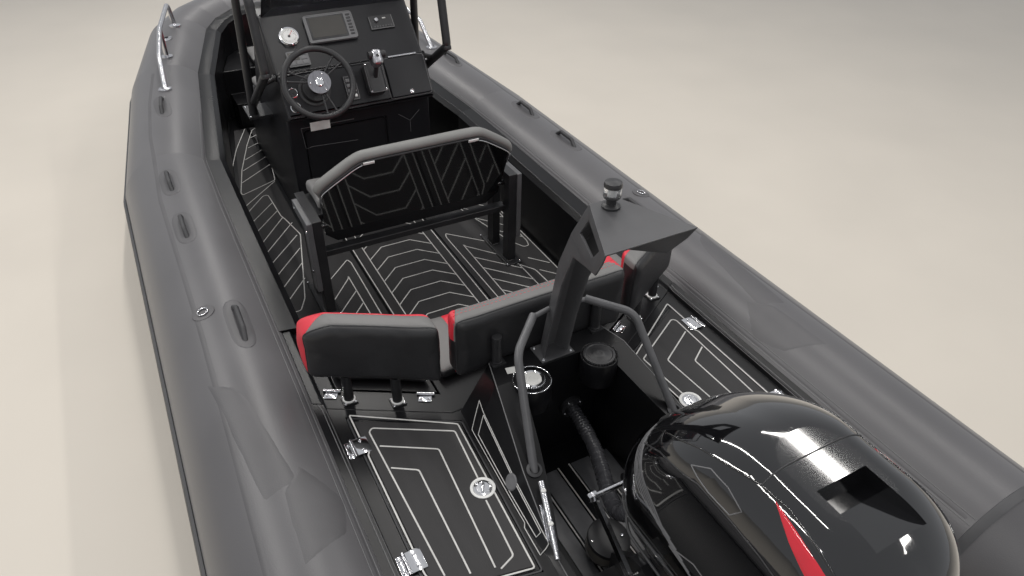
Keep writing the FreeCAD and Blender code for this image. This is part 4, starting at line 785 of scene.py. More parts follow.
def pad(name, node, body, half, at, radius, cuts, paint, crown=0.008, pull=0.006, swell=0.006):
    """Cushion in its own frame: sewn shape, blown up by cloth, cut along its seams, then put in place.

    A cut is (point, normal, style, keep): a seam plane with its piping or stitches where keep allows.
    """
    a, b, c = [h - swell * 0.3 for h in half]
    bm = bmesh.new()
    counts = [max(4, int(2 * h / GRID_CELL)) for h in (a, b, c)]
    grid = {}

    def vertex(i, j, k):
        """Grid point of the rounded, crowned shell, made once."""
        if (i, j, k) not in grid:
            p = Vector([h * (2 * n / m - 1) for h, n, m in zip((a, b, c), (i, j, k), counts)])
            inner = Vector([max(-h + radius, min(h - radius, v)) for h, v in zip((a, b, c), p)])
            out = p - inner
            if out.length > 1e-9:
                p = inner + out.normalized() * min(radius, out.length * 1.25)
            u, v = p.x / a, p.y / b
            p.x -= math.copysign(pull * (1 - v * v), p.x) * abs(u) ** 6
            p.y -= math.copysign(pull * (1 - u * u), p.y) * abs(v) ** 6
            if p.z > 0:
                p.z += crown * ((1 - u * u) * (1 - v * v) - 1) * abs(p.z / c) ** 2
            grid[(i, j, k)] = bm.verts.new(p)
        return grid[(i, j, k)]

    for axis in range(3):
        m, n = [q for q in range(3) if q != axis]
        for edge in (0, counts[axis]):
            for i in range(counts[m]):
                for j in range(counts[n]):
                    corners = []
                    for di, dj in ((0, 0), (1, 0), (1, 1), (0, 1)):
                        index = [0, 0, 0]
                        index[axis], index[m], index[n] = edge, i + di, j + dj
                        corners.append(vertex(*index))
                    bm.faces.new(corners)
    bmesh.ops.recalc_face_normals(bm, faces=bm.faces)
    mesh = bpy.data.meshes.new(name)
    bm.to_mesh(mesh)
    bm.free()
    obj = bpy.data.objects.new(name, mesh)
    scene.collection.objects.link(obj)
    inflate(obj, swell)
    bm = bmesh.new()
    bm.from_mesh(obj.data)
    for v in bm.verts:
        v.co = Vector([max(-h - 0.003, min(h + 0.003, q)) for h, q in zip(half, v.co)])
    loops = []
    for point, normal, style, keep in cuts:
        point, normal = Vector(point), Vector(normal).normalized()
        done = bmesh.ops.bisect_plane(bm, geom=bm.verts[:] + bm.edges[:] + bm.faces[:], plane_co=point,
                                      plane_no=normal, dist=1e-5)
        bm.normal_update()
        edges = [e for e in done["geom_cut"] if isinstance(e, bmesh.types.BMEdge)]
        edges = [e for e in edges if keep is None or keep((e.verts[0].co + e.verts[1].co) / 2)]
        touched = {v for e in edges for v in e.verts}
        for v in bm.verts:
            near = abs((v.co - point).dot(normal))
            if near < SEAM_HALF and (v in touched or keep is None or keep(v.co)):
                v.co -= v.normal * SEAM_DEPTH * (1 - near / SEAM_HALF) ** 2
        if style:
            loops.append((style, chains([(e.verts[0].co.copy(), e.verts[1].co.copy()) for e in edges])))
    for face in bm.faces:
        face.smooth = True
        face.material_index = paint(face.calc_center_median())
    for v in bm.verts:
        v.co = at(v.co)
    bmesh.ops.recalc_face_normals(bm, faces=bm.faces)
    bm.to_mesh(obj.data)
    bm.free()
    for mat in VINYLS:
        obj.data.materials.append(mat)
    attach(obj, body)
    if node:
        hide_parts(node)
    for number, (style, runs) in enumerate(loops):
        sew("%s_seam%d" % (name, number), runs, style, body, at)
    return obj


def inflate(obj, cap):
    """Remeshes a shell and lets cloth pressure fill it, moving no point further than the cap."""
    remesh = obj.modifiers.new("remesh", "REMESH")
    remesh.mode = "VOXEL"
    remesh.voxel_size = VOXEL
    bpy.context.view_layer.objects.active = obj
    with bpy.context.temp_override(object=obj, active_object=obj):
        bpy.ops.object.modifier_apply(modifier="remesh")
    before = [v.co.copy() for v in obj.data.vertices]
    cloth = obj.modifiers.new("cloth", "CLOTH")
    cloth.settings.use_pressure = True
    cloth.settings.uniform_pressure_force = 4
    cloth.settings.effector_weights.gravity = 0
    cloth.settings.quality = 4
    cloth.settings.tension_stiffness = 40
    cloth.settings.bending_stiffness = 2
    for number in range(1, SIMULATED_FRAMES + 1):
        scene.frame_set(number)
    shaped = obj.evaluated_get(bpy.context.evaluated_depsgraph_get())
    after = [v.co.copy() for v in shaped.data.vertices]
    obj.modifiers.remove(cloth)
    scene.frame_set(1)
    for v, old, new in zip(obj.data.vertices, before, after):
        move = new - old
        v.co = old + move * min(1.0, cap / max(move.length, 1e-9))
    smooth = obj.modifiers.new("smooth", "SMOOTH")
    smooth.iterations = 3
    smooth.factor = 0.5
    finer = obj.modifiers.new("finer", "SUBSURF")
    finer.levels = 1
    with bpy.context.temp_override(object=obj, active_object=obj):
        bpy.ops.object.modifier_apply(modifier="smooth")
        bpy.ops.object.modifier_apply(modifier="finer")


def chains(pairs):
    """Runs of points from unordered edges."""
    def key(p):
        """Place rounded, so that shared ends meet."""
        return (round(p.x, 5), round(p.y, 5), round(p.z, 5))
    joined = {}
    where = {}
    for a, b in pairs:
        where[key(a)], where[key(b)] = a, b
        joined.setdefault(key(a), set()).add(key(b))
        joined.setdefault(key(b), set()).add(key(a))
    runs = []
    while joined:
        ends = [k for k, v in joined.items() if len(v) == 1]
        here = ends[0] if ends else next(iter(joined))
        run = [where[here]]
        while joined.get(here):
            following = joined[here].pop()
            joined[following].discard(here)
            if not joined[here]:
                del joined[here]
            run.append(where[following])
            here = following
        if not joined.get(here, True):
            joined.pop(here, None)
        if len(run) > 2:
            runs.append(run)
    return runs


def sew(name, runs, style, body, at):
    """Piping or rows of stitches along seam runs."""
    bead, mat, dashed = style
    count = 0
    for run in runs:
        path = [at(p) for p in run]
        even = sampled(path, STITCH_STEP if dashed else 0.008)
        if not dashed:
            pipe("%s_%d" % (name, count), even, bead, mat, body, order=2, fine=2)
            count += 1
            continue
        bm = bmesh.new()
        for i in range(0, len(even) - 2, 3):
            a, b = even[i], even[i + 2]
            axis = b - a
            if axis.length > 1e-4:
                turned(bm, a, axis, [(0, 0), (bead, axis.length * 0.2), (bead, axis.length * 0.7),
                                     (0, axis.length)], 5)
        from_bm("%s_%d" % (name, count), bm, mat, body)
        count += 1


BLACK_PIPE = (0.0026, PIPING, False)
RED_STITCH = (0.0012, THREAD_RED, True)


def seat_cuts(belt, red, sewn_above, channels=(), pressed_above=0.0):
    """Piping round a seat pad at the belt's height, stitches beside its red middle, channels across that."""
    cuts = [((0, 0, belt), (0, 0, 1), BLACK_PIPE, None)]
    cuts += [((x, 0, 0), (1, 0, 0), RED_STITCH, lambda p: p.z > sewn_above) for x in (-red, red)]
    cuts += [((0, y, 0), (0, 1, 0), None, lambda p: p.z > pressed_above and abs(p.x) < red)
             for y in channels]
    return cuts


def seat_paint(belt, red):
    """Black under the belt, red in the middle, grey beside it."""
    return lambda p: 0 if p.z < belt else (2 if abs(p.x) < red else 1)


# The bench hinge line's slope, and how much longer a step square to it is
SLOPE = (-1.742 + 1.542) / (0.350 - 0.700)
ACROSS = math.hypot(1, SLOPE)


def hinge_y(x, aft=0.0):
    """Station of the starboard bench hinge line, moved aft square to it."""
    return -1.542 + (x - 0.700) * SLOPE - aft * ACROSS


# Bench backrests: black back, grey band, red front
for side, tag in SIDES:

    def at_rest(p, side=side):
        """Side backrest, along the hinge line; its outer end slopes down."""
        x = 0.555 + p.x * (1.10 if side < 0 or p.x < 0 else 0.85)
        lean = p.z * 0.04
        drop = max(0.0, (p.x - 0.09) / 0.09) ** 1.3 * 0.060 * max(0.0, (p.z + 0.02) / 0.145)
        return Vector((side * x, hinge_y(x, 0.0305 - p.y + lean), 0.725 + p.z - drop))

    def rest_paint(p):
        """Black behind and at the inboard end, red in front and outboard, grey between."""
        if p.y < -0.030 or (p.x < -0.155 and p.z < 0.092 and p.y < 0.020):
            return 0
        if p.y > 0.026 or p.y > 0.026 - (p.x - 0.10) * 0.9:
            return 2
        return 1

    pad("bench_backrest_%s_pad" % tag, "bench_backrest_" + tag, "boat", (0.18, 0.0475, 0.125), at_rest,
        0.020, [((0, -0.030, 0), (0, 1, 0), BLACK_PIPE, None),
                ((0, 0.026, 0), (0, 1, 0), RED_STITCH, lambda p: p.x < 0.10),
                ((0.10, 0.026, 0), (0.9, 1, 0), RED_STITCH,
                 lambda p: p.x > 0.08 and p.y < 0.03 and p.y > -0.03)], rest_paint, crown=0.006, pull=0.003)


def at_centre_rest(p):
    """Centre backrest, leaning a little aft."""
    return Vector((p.x, -1.786 + p.y - p.z * 0.02, 0.735 + p.z))


def centre_paint(p):
    """Black behind, red wedges at both ends, grey between."""
    if p.y < -0.028 or (abs(p.x) > 0.306 and p.z < 0.03):
        return 0
    if abs(p.x) > 0.285 + (0.046 - p.y) * 0.5 and p.y > -0.02:
        return 2
    return 1


pad("bench_backrest_centre_pad", "bench_backrest_centre", "boat", (0.33, 0.046, 0.125), at_centre_rest,
    0.022, [((0, -0.028, 0), (0, 1, 0), BLACK_PIPE, None),
            ((0, 0.006, 0), (0, 1, 0), RED_STITCH, lambda p: p.z > 0),
            ((0, 0.022, 0), (0, 1, 0), RED_STITCH, lambda p: p.z > 0),
            ((-0.285, 0.046, 0), (1, -0.5, 0), (0.0014, VINYL_RED, False),
             lambda p: p.y > -0.02 and p.x < 0)], centre_paint, crown=0.006, pull=0.003)

# Bench seats
for side, tag in SIDES:

    def at_seat(p, side=side):
        """Side seat, between two lines along the bench's hinge line."""
        x = 0.507 + p.x
        front = hinge_y(x, -0.316)
        back = hinge_y(x, -0.042)
        share = (p.y + 0.155) / 0.31
        return Vector((side * x, back + (front - back) * share, 0.511 + p.z))

    pad("bench_cushion_%s_pad" % tag, "bench_cushion_" + tag, "bench_lid_" + tag, (0.1525, 0.155, 0.030),
        at_seat, 0.016, seat_cuts(0.010, 0.085, 0.01, (0.0,), 0.01), seat_paint(0.010, 0.085), crown=0.010,
        pull=0.006)


def at_centre_seat(p):
    """Centre seat on the bench base."""
    return Vector((p.x, -1.5335 + p.y, 0.511 + p.z))


pad("bench_cushion_centre_pad", "bench_cushion_centre", "boat", (0.333, 0.155, 0.030), at_centre_seat,
    0.016, seat_cuts(0.010, 0.20, 0.01, (0.05, -0.05), 0.01), seat_paint(0.010, 0.20), crown=0.012,
    pull=0.006)

# Helm seat cushion with grey bolsters and a red middle


def at_helm(p):
    """Helm seat, its ends a little raised."""
    rise = 0.006 * (abs(p.x) / 0.447) ** 3
    return Vector((p.x, -0.5475 + p.y, 0.675 + p.z + (rise if p.z > 0 else 0)))


pad("helm_cushion_pad", "helm_cushion", "boat", (0.446, 0.112, 0.040), at_helm, 0.022,
    seat_cuts(-0.012, 0.30, -0.012, (0.035, -0.035)), seat_paint(-0.012, 0.30), crown=0.014, pull=0.008)

# Helm backrest: padded front panel and the grey roll along its top
back_low = Vector((0, -0.640, 0.478))
back_high = Vector((0, -0.790, 0.905))
back_up = (back_high - back_low).normalized()
back_out = Vector((0, back_up.z, -back_up.y))


def on_back(x, v, lift):
    """Point on the backrest: offset, distance up it, distance in front of its rear face."""
    return Vector((x, 0, 0)) + back_low + back_up * v + back_out * lift


def at_front(p):
    """Front pad, narrower towards its top as the shell is."""
    share = (p.y + 0.095) / 0.19
    narrow = 1 - 0.16 * max(0.0, share - 0.35)
    return on_back(p.x * narrow, 0.315 + p.y, 0.039 + p.z)


pad("helm_front_pad", None, "boat", (0.385, 0.095, 0.013), at_front, 0.011,
    seat_cuts(-0.002, 0.23, 0.0), seat_paint(-0.002, 0.23), crown=0.006, pull=0.004, swell=0.003)

ROLL_LINE = [(-0.432, 0.285), (-0.440, 0.340), (-0.395, 0.378), (-0.300, 0.448), (-0.262, 0.468),
             (-0.180, 0.470), (0.0, 0.470), (0.180, 0.470), (0.262, 0.468), (0.300, 0.448), (0.395, 0.378),
             (0.440, 0.340), (0.432, 0.285)]


def swept(name, line, section, mat, body):
    """Solid of a section of (up, forward) points carried along a line on the backrest."""
    verts = []
    faces = []
    points = rounded([(x, v, 0) for x, v in line], 0.05, steps=5)
    points = sampled(points, 0.02)
    count = len(section)
    for i, p in enumerate(points):
        ahead = (points[min(i + 1, len(points) - 1)] - points[max(i - 1, 0)]).normalized()
        out = Vector((-ahead.y, ahead.x, 0))
        taper = min(1.0, 0.35 + min(i, len(points) - 1 - i) * 0.35)
        for up, front in section:
            q = p + out * (up * taper)
            verts.append(on_back(q.x, q.y, 0.013 + front * taper))
    for i in range(len(points) - 1):
        for k in range(count):
            n = (k + 1) % count
            faces.append((i * count + k, i * count + n, (i + 1) * count + n, (i + 1) * count + k))
    faces.append(tuple(range(count)))
    faces.append(tuple((len(points) - 1) * count + k for k in reversed(range(count))))
    return add(name, verts, faces, mat, body)


round_it = [2 * math.pi * i / 20 for i in range(20)]
oval = [(0.019 * math.sin(t) + 0.004, 0.010 + 0.024 * math.cos(t)) for t in round_it]
roll = swept("helm_back_roll_pad", ROLL_LINE, oval, VINYL_LIGHT, "boat")
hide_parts("helm_back_roll")
below = rounded([(x, v - 0.008, 0) for x, v in ROLL_LINE], 0.05, steps=4)
gasket = [on_back(p.x, p.y, -0.003) for p in below]
pipe("helm_roll_gasket", gasket, 0.0045, RUBBER, "boat", order=2, fine=2)
below = rounded([(x, v - 0.018, 0) for x, v in ROLL_LINE], 0.05, steps=4)
rail = [on_back(p.x, p.y, -0.008) for p in below]
third = len(rail) // 3
pipe("helm_rail_port", rail[:third], 0.0032, CHROME, "boat", order=2, fine=2)
pipe("helm_rail_starboard", rail[-third:], 0.0032, CHROME, "boat", order=2, fine=2)
for side in (-1, 1):
    slab("helm_clip_%d" % (side + 1), on_back(side * 0.235, 0.4555, -0.012), basis(back_out, (1, 0, 0)),
         (-0.006, -0.024, 0), (0.006, 0.024, 0.006), 0.0015, WHITE, "boat", 2)

# Console seat and bow cushion


def at_console(p):
    """Seat in front of the console."""
    return Vector((p.x, 0.990 + p.y, 0.595 + p.z))


pad("console_cushion_pad", "console_cushion", "boat", (0.356, 0.189, 0.034), at_console, 0.022,
    seat_cuts(-0.006, 0.22, 0.0), seat_paint(-0.006, 0.22), crown=0.012, pull=0.008)


def at_bow(p):
    """Pad on the bow locker's lid."""
    return Vector((p.x, 1.860 + p.y, 0.511 + p.z))


pad("bow_cushion_pad", "bow_cushion", "bow_lid", (0.239, 0.139, 0.030), at_bow, 0.018,
    seat_cuts(0.004, 0.13, 0.01), seat_paint(0.004, 0.13), crown=0.010, pull=0.006)

# Console instruments: frames whose columns run across, up the panel and out of it
DASH = basis((0, -0.7105, 0.7037), (0, 0.7037, 0.7105))
DESK = basis((0, -0.8305, 0.5569), (0, 0.5569, 0.8305))
DASH_FOOT = Vector((0, 0.105, 0.990))
DESK_FOOT = Vector((0, -0.025, 0.818))


def on_dash(x, along, proud=0.0):
    """Point on the instrument panel above the wheel."""
    return DASH_FOOT + DASH @ Vector((x, along, proud))


def on_desk(x, along, proud=0.0):
    """Point on the sloping face that carries the wheel."""
    return DESK_FOOT + DESK @ Vector((x, along, proud))


def outline(x0, x1, low, high, place, proud, radius=0.006):
    """Closed line round a rectangle on a console face."""
    return rounded([place(x0, low, proud), place(x1, low, proud), place(x1, high, proud),
                    place(x0, high, proud)], radius, True), True


dash_out = DASH @ Vector((0, 0, 1))
desk_out = DESK @ Vector((0, 0, 1))
GAUGE_X = -0.262
GAUGE_UP = 0.175
gauge = on_dash(GAUGE_X, GAUGE_UP)
lathe("gauge_bezel", gauge, dash_out, [(0.0488, 0.001), (0.0488, 0.014), (0.0455, 0.0175), (0.0415, 0.016),
                                       (0.040, 0.0125)], CHROME, "boat", 48)
lathe("gauge_dial", gauge, dash_out, [(0.0402, 0.0126), (0.024, 0.0130), (0.0235, 0.0134), (0.006, 0.0134)],
      WHITE, "boat", 48)
ticks = []
for k in range(21):
    a = math.radians(-135 + 13.5 * k)
    inner = 0.029 if k % 5 else 0.026
    ticks.append(([on_dash(GAUGE_X + r * math.sin(a), GAUGE_UP + r * math.cos(a), 0.0131)
                   for r in (inner, 0.036)], False))
ribbons("gauge_ticks", ticks, 0.0014, PLASTIC, "boat", up=dash_out, height=0.0003)
lathe("gauge_hub", gauge, dash_out, [(0.0065, 0.013), (0.006, 0.0158), (0, 0.0165)], PLASTIC, "boat", 20)
ribbons("gauge_needle", [([on_dash(GAUGE_X, GAUGE_UP, 0.0148), on_dash(-0.241, 0.201, 0.0148)], False)],
        0.0022, RED_PAINT, "boat", up=dash_out)
# Small dials on the desk; columns: x, distance up, radius
for number, (x, along, radius) in enumerate(((-0.325, 0.114, 0.024), (-0.330, 0.044, 0.026))):
    lathe("dial_%d" % number, on_desk(x, along), desk_out,
          [(radius, 0), (radius, 0.004), (radius - 0.003, 0.006), (radius - 0.005, 0.0045)], CHROME, "boat",
          32)
    lathe("dial_face_%d" % number, on_desk(x, along), desk_out,
          [(radius - 0.005, 0.0044), (0.004, 0.0044), (0.003, 0.006), (0, 0.006)], PLASTIC, "boat", 32)
# Display with its grey keypad
slab("display_frame", DASH_FOOT, DASH, (-0.304, 0.018, 0.009), (-0.201, 0.096, 0.0125), 0.0015,
     PLASTIC_GREY, "boat")
slab("display_glass", DASH_FOOT, DASH, (-0.298, 0.050, 0.012), (-0.245, 0.090, 0.0136), 0.0007, SCREEN,
     "boat", 1)
# Its keys; columns: left and right edge, low and high edge
KEYS = ((-0.298, -0.270, 0.024, 0.044), (-0.266, -0.238, 0.024, 0.044), (-0.234, -0.208, 0.024, 0.044),
        (-0.240, -0.208, 0.050, 0.068), (-0.240, -0.208, 0.072, 0.090))
for number, (x0, x1, low, high) in enumerate(KEYS):
    slab("display_key_%d" % number, DASH_FOOT, DASH, (x0, low, 0.012), (x1, high, 0.0146), 0.0012,
         PLASTIC_GREY, "boat")
ribbons("display_edge", [outline(-0.304, -0.201, 0.018, 0.096, on_dash, 0.0126)], 0.002, TAPE_AND_EDGE_HIGHLIGHT, "boat",
        up=dash_out)
# Chart plotter: bezel, cover glass, button column
slab("plotter_glass", DASH_FOOT, DASH, (-0.160, 0.131, 0.0205), (0.026, 0.251, 0.0232), 0.001, PLASTIC,
     "boat")
slab("plotter_screen", DASH_FOOT, DASH, (-0.151, 0.142, 0.0225), (0.018, 0.246, 0.0238), 0.0006, SCREEN,
     "boat", 1)
ribbons("plotter_edge", [outline(-0.173, 0.068, 0.120, 0.260, on_dash, 0.0222, 0.014)], 0.0045, TAPE_AND_EDGE_HIGHLIGHT,
        "boat", up=dash_out, height=0.0012)
for number in range(7):
    low = 0.135 + 0.0168 * number
    slab("plotter_key_%d" % number, DASH_FOOT, DASH, (0.036, low, 0.0215), (0.058, low + 0.011, 0.0243),
         0.0018, PLASTIC, "boat", 2)
# Socket panel: light edge on three sides, knob, row of sockets
edge = [on_dash(x, up, 0.0084) for x, up in ((0.153, 0.218), (0.153, 0.153), (0.272, 0.153), (0.272, 0.219))]
ribbons("socket_edge", [(edge, False)], 0.003, TAPE_AND_EDGE_HIGHLIGHT, "boat", up=dash_out)
lathe("socket_knob", on_dash(0.187, 0.197, 0.008), dash_out,
      [(0.012, 0), (0.0115, 0.008), (0.009, 0.012), (0, 0.0125)], BRUSHED, "boat", 28)
slab("socket_tag", DASH_FOOT, DASH, (0.222, 0.203, 0.008), (0.240, 0.209, 0.0088), 0.0003, PALE, "boat", 1)
bm = bmesh.new()
for k in range(7):
    turned(bm, on_dash(0.172 + 0.0145 * k, 0.164, 0.0082), dash_out,
           [(0.004, 0), (0.0035, 0.002), (0.002, 0.0005)], 12)
from_bm("socket_row", bm, PLASTIC_GREY, "boat")
# Switch strip on the desk: rockers with their lamps
ribbons("switch_edge", [outline(-0.070, -0.014, 0.033, 0.147, on_desk, 0.0103)], 0.0022, PLASTIC_GREY,
        "boat", up=desk_out)
for k in range(4):
    low = 0.042 + 0.0255 * k
    slab("rocker_%d" % k, DESK_FOOT, DESK, (-0.064, low, 0.0095), (-0.043, low + 0.017, 0.0138), 0.002,
         PLASTIC_GREY, "boat")
    lathe("rocker_lamp_%d" % k, on_desk(-0.029, low + 0.0085, 0.0098), desk_out,
          [(0.0078, 0), (0.0074, 0.003), (0.005, 0.0042), (0, 0.0044)], WHITE, "boat", 20)
# Blank label below the wheel, and the low recess, whose pale edge lines are painted highlights
console_tree = surface("console_body")
face_y = snapped((-0.233, -0.04, 0.754), console_tree)[0].y
slab("console_label", (-0.233, 0, 0.754), FLAT, (-0.049, face_y - 0.0012, -0.022),
     (0.049, face_y + 0.001, 0.022), 0.0004, PALE, "boat", 1)
# Painted highlights: pale lines along the recess's top edge and round its side stand for the light they
# catch
skin_line("recess_highlight_top", [(-0.314, 0.03, 0.722), (-0.040, 0.03, 0.722)], console_tree, 0.0016, TAPE_AND_EDGE_HIGHLIGHT,
          "boat", 0.0004)
RECESS = (("recess_highlight_side", ((-0.314, 0.722), (-0.305, 0.612), (-0.03, 0.598))),
          ("recess_rib", ((0.20, 0.70), (0.262, 0.655), (0.262, 0.59))),
          ("recess_rib_low", ((0.262, 0.655), (0.318, 0.705))))
for name, points in RECESS:
    skin_line(name, [(x, 0.03, z) for x, z in points], console_tree, 0.0012, PLASTIC_GREY, "boat", 0.0002)

# Steering wheel: spun hub, screws, cap, collars at the rim, stitched grip seams
hub = Vector((-0.22, -0.075, 0.985))
RIM = 0.1605
lathe("wheel_disc", hub, desk_out, [(0.052, 0.0125), (0.0545, 0.015), (0.053, 0.0168), (0.034, 0.0178),
                                    (0.022, 0.0178), (0.0205, 0.0165)], SPUN, "steering_wheel", 56)
lathe("wheel_cap", hub, desk_out, [(0.0205, 0.0165), (0.0200, 0.0210), (0.0170, 0.0230), (0.0150, 0.0222),
                                   (0, 0.0226)], CHROME, "steering_wheel", 40)
around = [Vector((0.043 * math.sin(a), 0.043 * math.cos(a), 0.0185)) for a in (0.5, 2.6, 4.7)]
screws("wheel_screws", [(hub + DESK @ p, desk_out, 0.0052) for p in around], CHROME, "steering_wheel")
collars = bmesh.new()
for middle in (-70, 50, 170):
    for spread in (-9, 9):
        a = math.radians(middle + spread)
        ray = DESK @ Vector((math.sin(a), math.cos(a), 0))
        for reach, size in ((0.143, 0.0068), (0.054, 0.0075)):
            turned(collars, hub + ray * (reach - 0.004), ray,
                   [(0.0046, 0), (size, 0.001), (size, 0.008), (0.0046, 0.009)], 14)
from_bm("wheel_collars", collars, PLASTIC, "steering_wheel")
for side in (-1, 1):
    turn = [2 * math.pi * k / 72 for k in range(72)]
    seam = [hub + DESK @ Vector((RIM * math.sin(t), RIM * math.cos(t), side * 0.0152)) for t in turn]
    pipe("wheel_seam_%d" % (side + 1), seam, 0.0007, PIPING, "steering_wheel", order=2, closed=True, fine=1)
up_desk = (hub - on_desk(hub.x, 0)).dot(DESK @ Vector((0, 1, 0)))
lathe("helm_ring", on_desk(hub.x, up_desk), desk_out,
      [(0.078, 0), (0.078, 0.006), (0.072, 0.009), (0.063, 0.008)], PLASTIC, "boat", 48)

# Throttle: silver head, dark grip to starboard, binnacle plate with screws
head = on_desk(0.075, 0.185, 0.190)
slab("throttle_head", head, DESK, (-0.034, -0.052, -0.052), (0.020, 0.026, 0.022), 0.020, BRUSHED,
     "boat", 6)
lathe("throttle_button", head + DESK @ Vector((-0.007, -0.010, 0.0215)), desk_out,
      [(0.008, -0.001), (0.0075, 0.002), (0, 0.003)], PLASTIC, "boat", 20)
lathe("throttle_grip", head + Vector((0.012, 0, 0)), (1, 0, 0),
      [(0.016, -0.006), (0.0175, 0.002), (0.0165, 0.014), (0.0178, 0.022), (0.012, 0.029), (0, 0.030)],
      RUBBER, "boat", 28)
screws("throttle_screws", [(on_desk(x, a, 0.0702), desk_out, 0.0045) for x in (0.038, 0.112)
                           for a in (0.043, 0.177)], CHROME, "boat")
ribbons("throttle_edge", [outline(0.031, 0.119, 0.037, 0.183, on_desk, 0.0704)], 0.0018, TAPE_AND_EDGE_HIGHLIGHT, "boat",
        up=desk_out)
# Glovebox: rubber seal round the lid, drawn pale as a painted edge highlight, and its push latch
ribbons("glovebox_seal_painted_highlight", [outline(0.146, 0.369, 0.002, 0.205, on_desk, 0.0004, 0.012)], 0.003, TAPE_AND_EDGE_HIGHLIGHT, "boat",
        up=desk_out)
lathe("glovebox_latch", on_desk(0.2575, 0.022, 0.0143), desk_out,
      [(0.011, -0.001), (0.011, 0.0015), (0.009, 0.003), (0.006, 0.001), (0, 0.001)], CHROME,
      "glovebox_lid", 28)

# Windscreen: rubber foot, edge trim, capped screws
# Columns: name, half width aft, its y, half width forward, its y, height, cord radius
WINDSCREEN_RIMS = (("windscreen_foot", 0.361, 0.324, 0.299, 0.412, 1.204, 0.0055),
                   ("windscreen_trim", 0.330, 0.191, 0.268, 0.288, 1.518, 0.0045))
for name, half_aft, y_aft, half_fore, y_fore, z, size in WINDSCREEN_RIMS:
    corners = [(-half_aft, y_aft, z), (-half_fore, y_fore, z), (half_fore, y_fore, z), (half_aft, y_aft, z)]
    pipe(name, rounded(corners, 0.03), size, RUBBER, "boat", order=2, fine=2)
screws("windscreen_screws", [((x, 0.4165, 1.222), (0, 1, 0.25), 0.0055)
                             for x in (-0.24, -0.08, 0.08, 0.24)], CHROME, "boat")
# Console frame: foot bolts, stub collars and bar joints
screws("frame_bolts", [((side * 0.489, y, 0.676), (0, 0, 1), 0.006) for side in (-1, 1)
                       for y in (0.415, 0.56)], STEEL, "boat")
for side in (-1, 1):
    lathe("stub_collar_%d" % (side + 1), (side * 0.379, 0.1225, 0.9685), (side, 0.16, -0.44),
          [(0.014, 0), (0.021, 0.001), (0.021, 0.006), (0.014, 0.009)], PLASTIC, "boat", 28)
    for y, z in ((-0.049, 1.045), (0.016, 1.340)):
        lathe("bar_joint_%d_%d" % (side + 1, z * 1000), (side * 0.450, y, z), (0, 0.25, 1),
              [(0.0212, -0.010), (0.0222, -0.008), (0.0222, 0.008), (0.0212, 0.010)], METAL_BLACK, "boat",
              28)

# Helm seat: screws of the foot plates and brackets
rows = []
for side in (-1, 1):
    for x in (0.432, 0.504):
        for y in (-0.755, -0.45):
            rows.append(((side * x, y, 0.1642), (0, 0, 1), 0.006))
    rows += [((side * 0.5142, y, z), (side, 0, 0), 0.007)
             for y, z in ((-0.712, 0.60), (-0.712, 0.40), (-0.53, 0.625))]
screws("helm_screws", rows, STEEL, "boat")

# Bench: hinge leaves on the deck, and the backrest posts' collars and screws
lean = Vector((1, SLOPE, 0)).normalized()
for side, tag in SIDES:
    run = Vector((lean.x, lean.y * side, 0))
    square = Vector((-run.y, run.x, 0))
    turn = basis((0, 0, 1), square)
    for x in (0.675, 0.395):
        middle = Vector((side * x, hinge_y(x), 0.4806))
        slab("bench_leaf_%s_%d" % (tag, x * 1000), middle, turn, (-0.022, -0.034, 0),
             (0.022, -0.007, 0.003), 0.001, CHROME, "boat", 2)
        screws("bench_leaf_screws_%s_%d" % (tag, x * 1000),
               [(middle + turn @ Vector((s, -0.022, 0.003)), (0, 0, 1), 0.005) for s in (-0.013, 0.013)],
               STEEL, "boat")
    for x in (0.492, 0.635):
        y = hinge_y(x, 0.037)
        spot = Vector((side * x, y, 0.486))
        lathe("post_collar_%s_%d" % (tag, x * 1000), spot, (0, 0, 1),
              [(0.0125, 0), (0.0215, 0.001), (0.0215, 0.005), (0.0125, 0.009)], WHITE, "boat", 28)
        screws("post_screws_%s_%d" % (tag, x * 1000),
               [(spot + Vector((i, j, 0)), (0, 0, 1), 0.0048) for i in (-0.0175, 0.0175)
                for j in (-0.0175, 0.0175)], CHROME, "boat")
    lathe("centre_collar_" + tag, (side * 0.190, -1.8503, 0.662), (0, 0, 1),
          [(0.0125, 0), (0.018, 0.001), (0.018, 0.004), (0.0125, 0.006)], PLASTIC, "boat", 24)

# Grab rails' flanges, and two screws along the line between each cleat's ends
CLEAT_FORE = (0.263, -2.263)
CLEAT_AFT = (0.327, -2.481)
for side, tag in SIDES:
    foot, normal = snapped((side * 0.259, -2.227, 0.57), deck_tree)
    lathe("rail_flange_" + tag, foot, normal,
          [(0.015, 0.001), (0.024, 0.002), (0.024, 0.0045), (0.0155, 0.009)], RUBBER, "boat", 32)
    top_rows = []
    for share in (0.28, 0.72):
        x = CLEAT_FORE[0] + (CLEAT_AFT[0] - CLEAT_FORE[0]) * share
        y = CLEAT_FORE[1] + (CLEAT_AFT[1] - CLEAT_FORE[1]) * share
        top_rows.append((snapped((side * x, y, 0.62), surface("cleats"))[0], (0, 0.1, 1), 0.008))
    screws("cleat_screws_" + tag, top_rows, WHITE, "boat", 16)

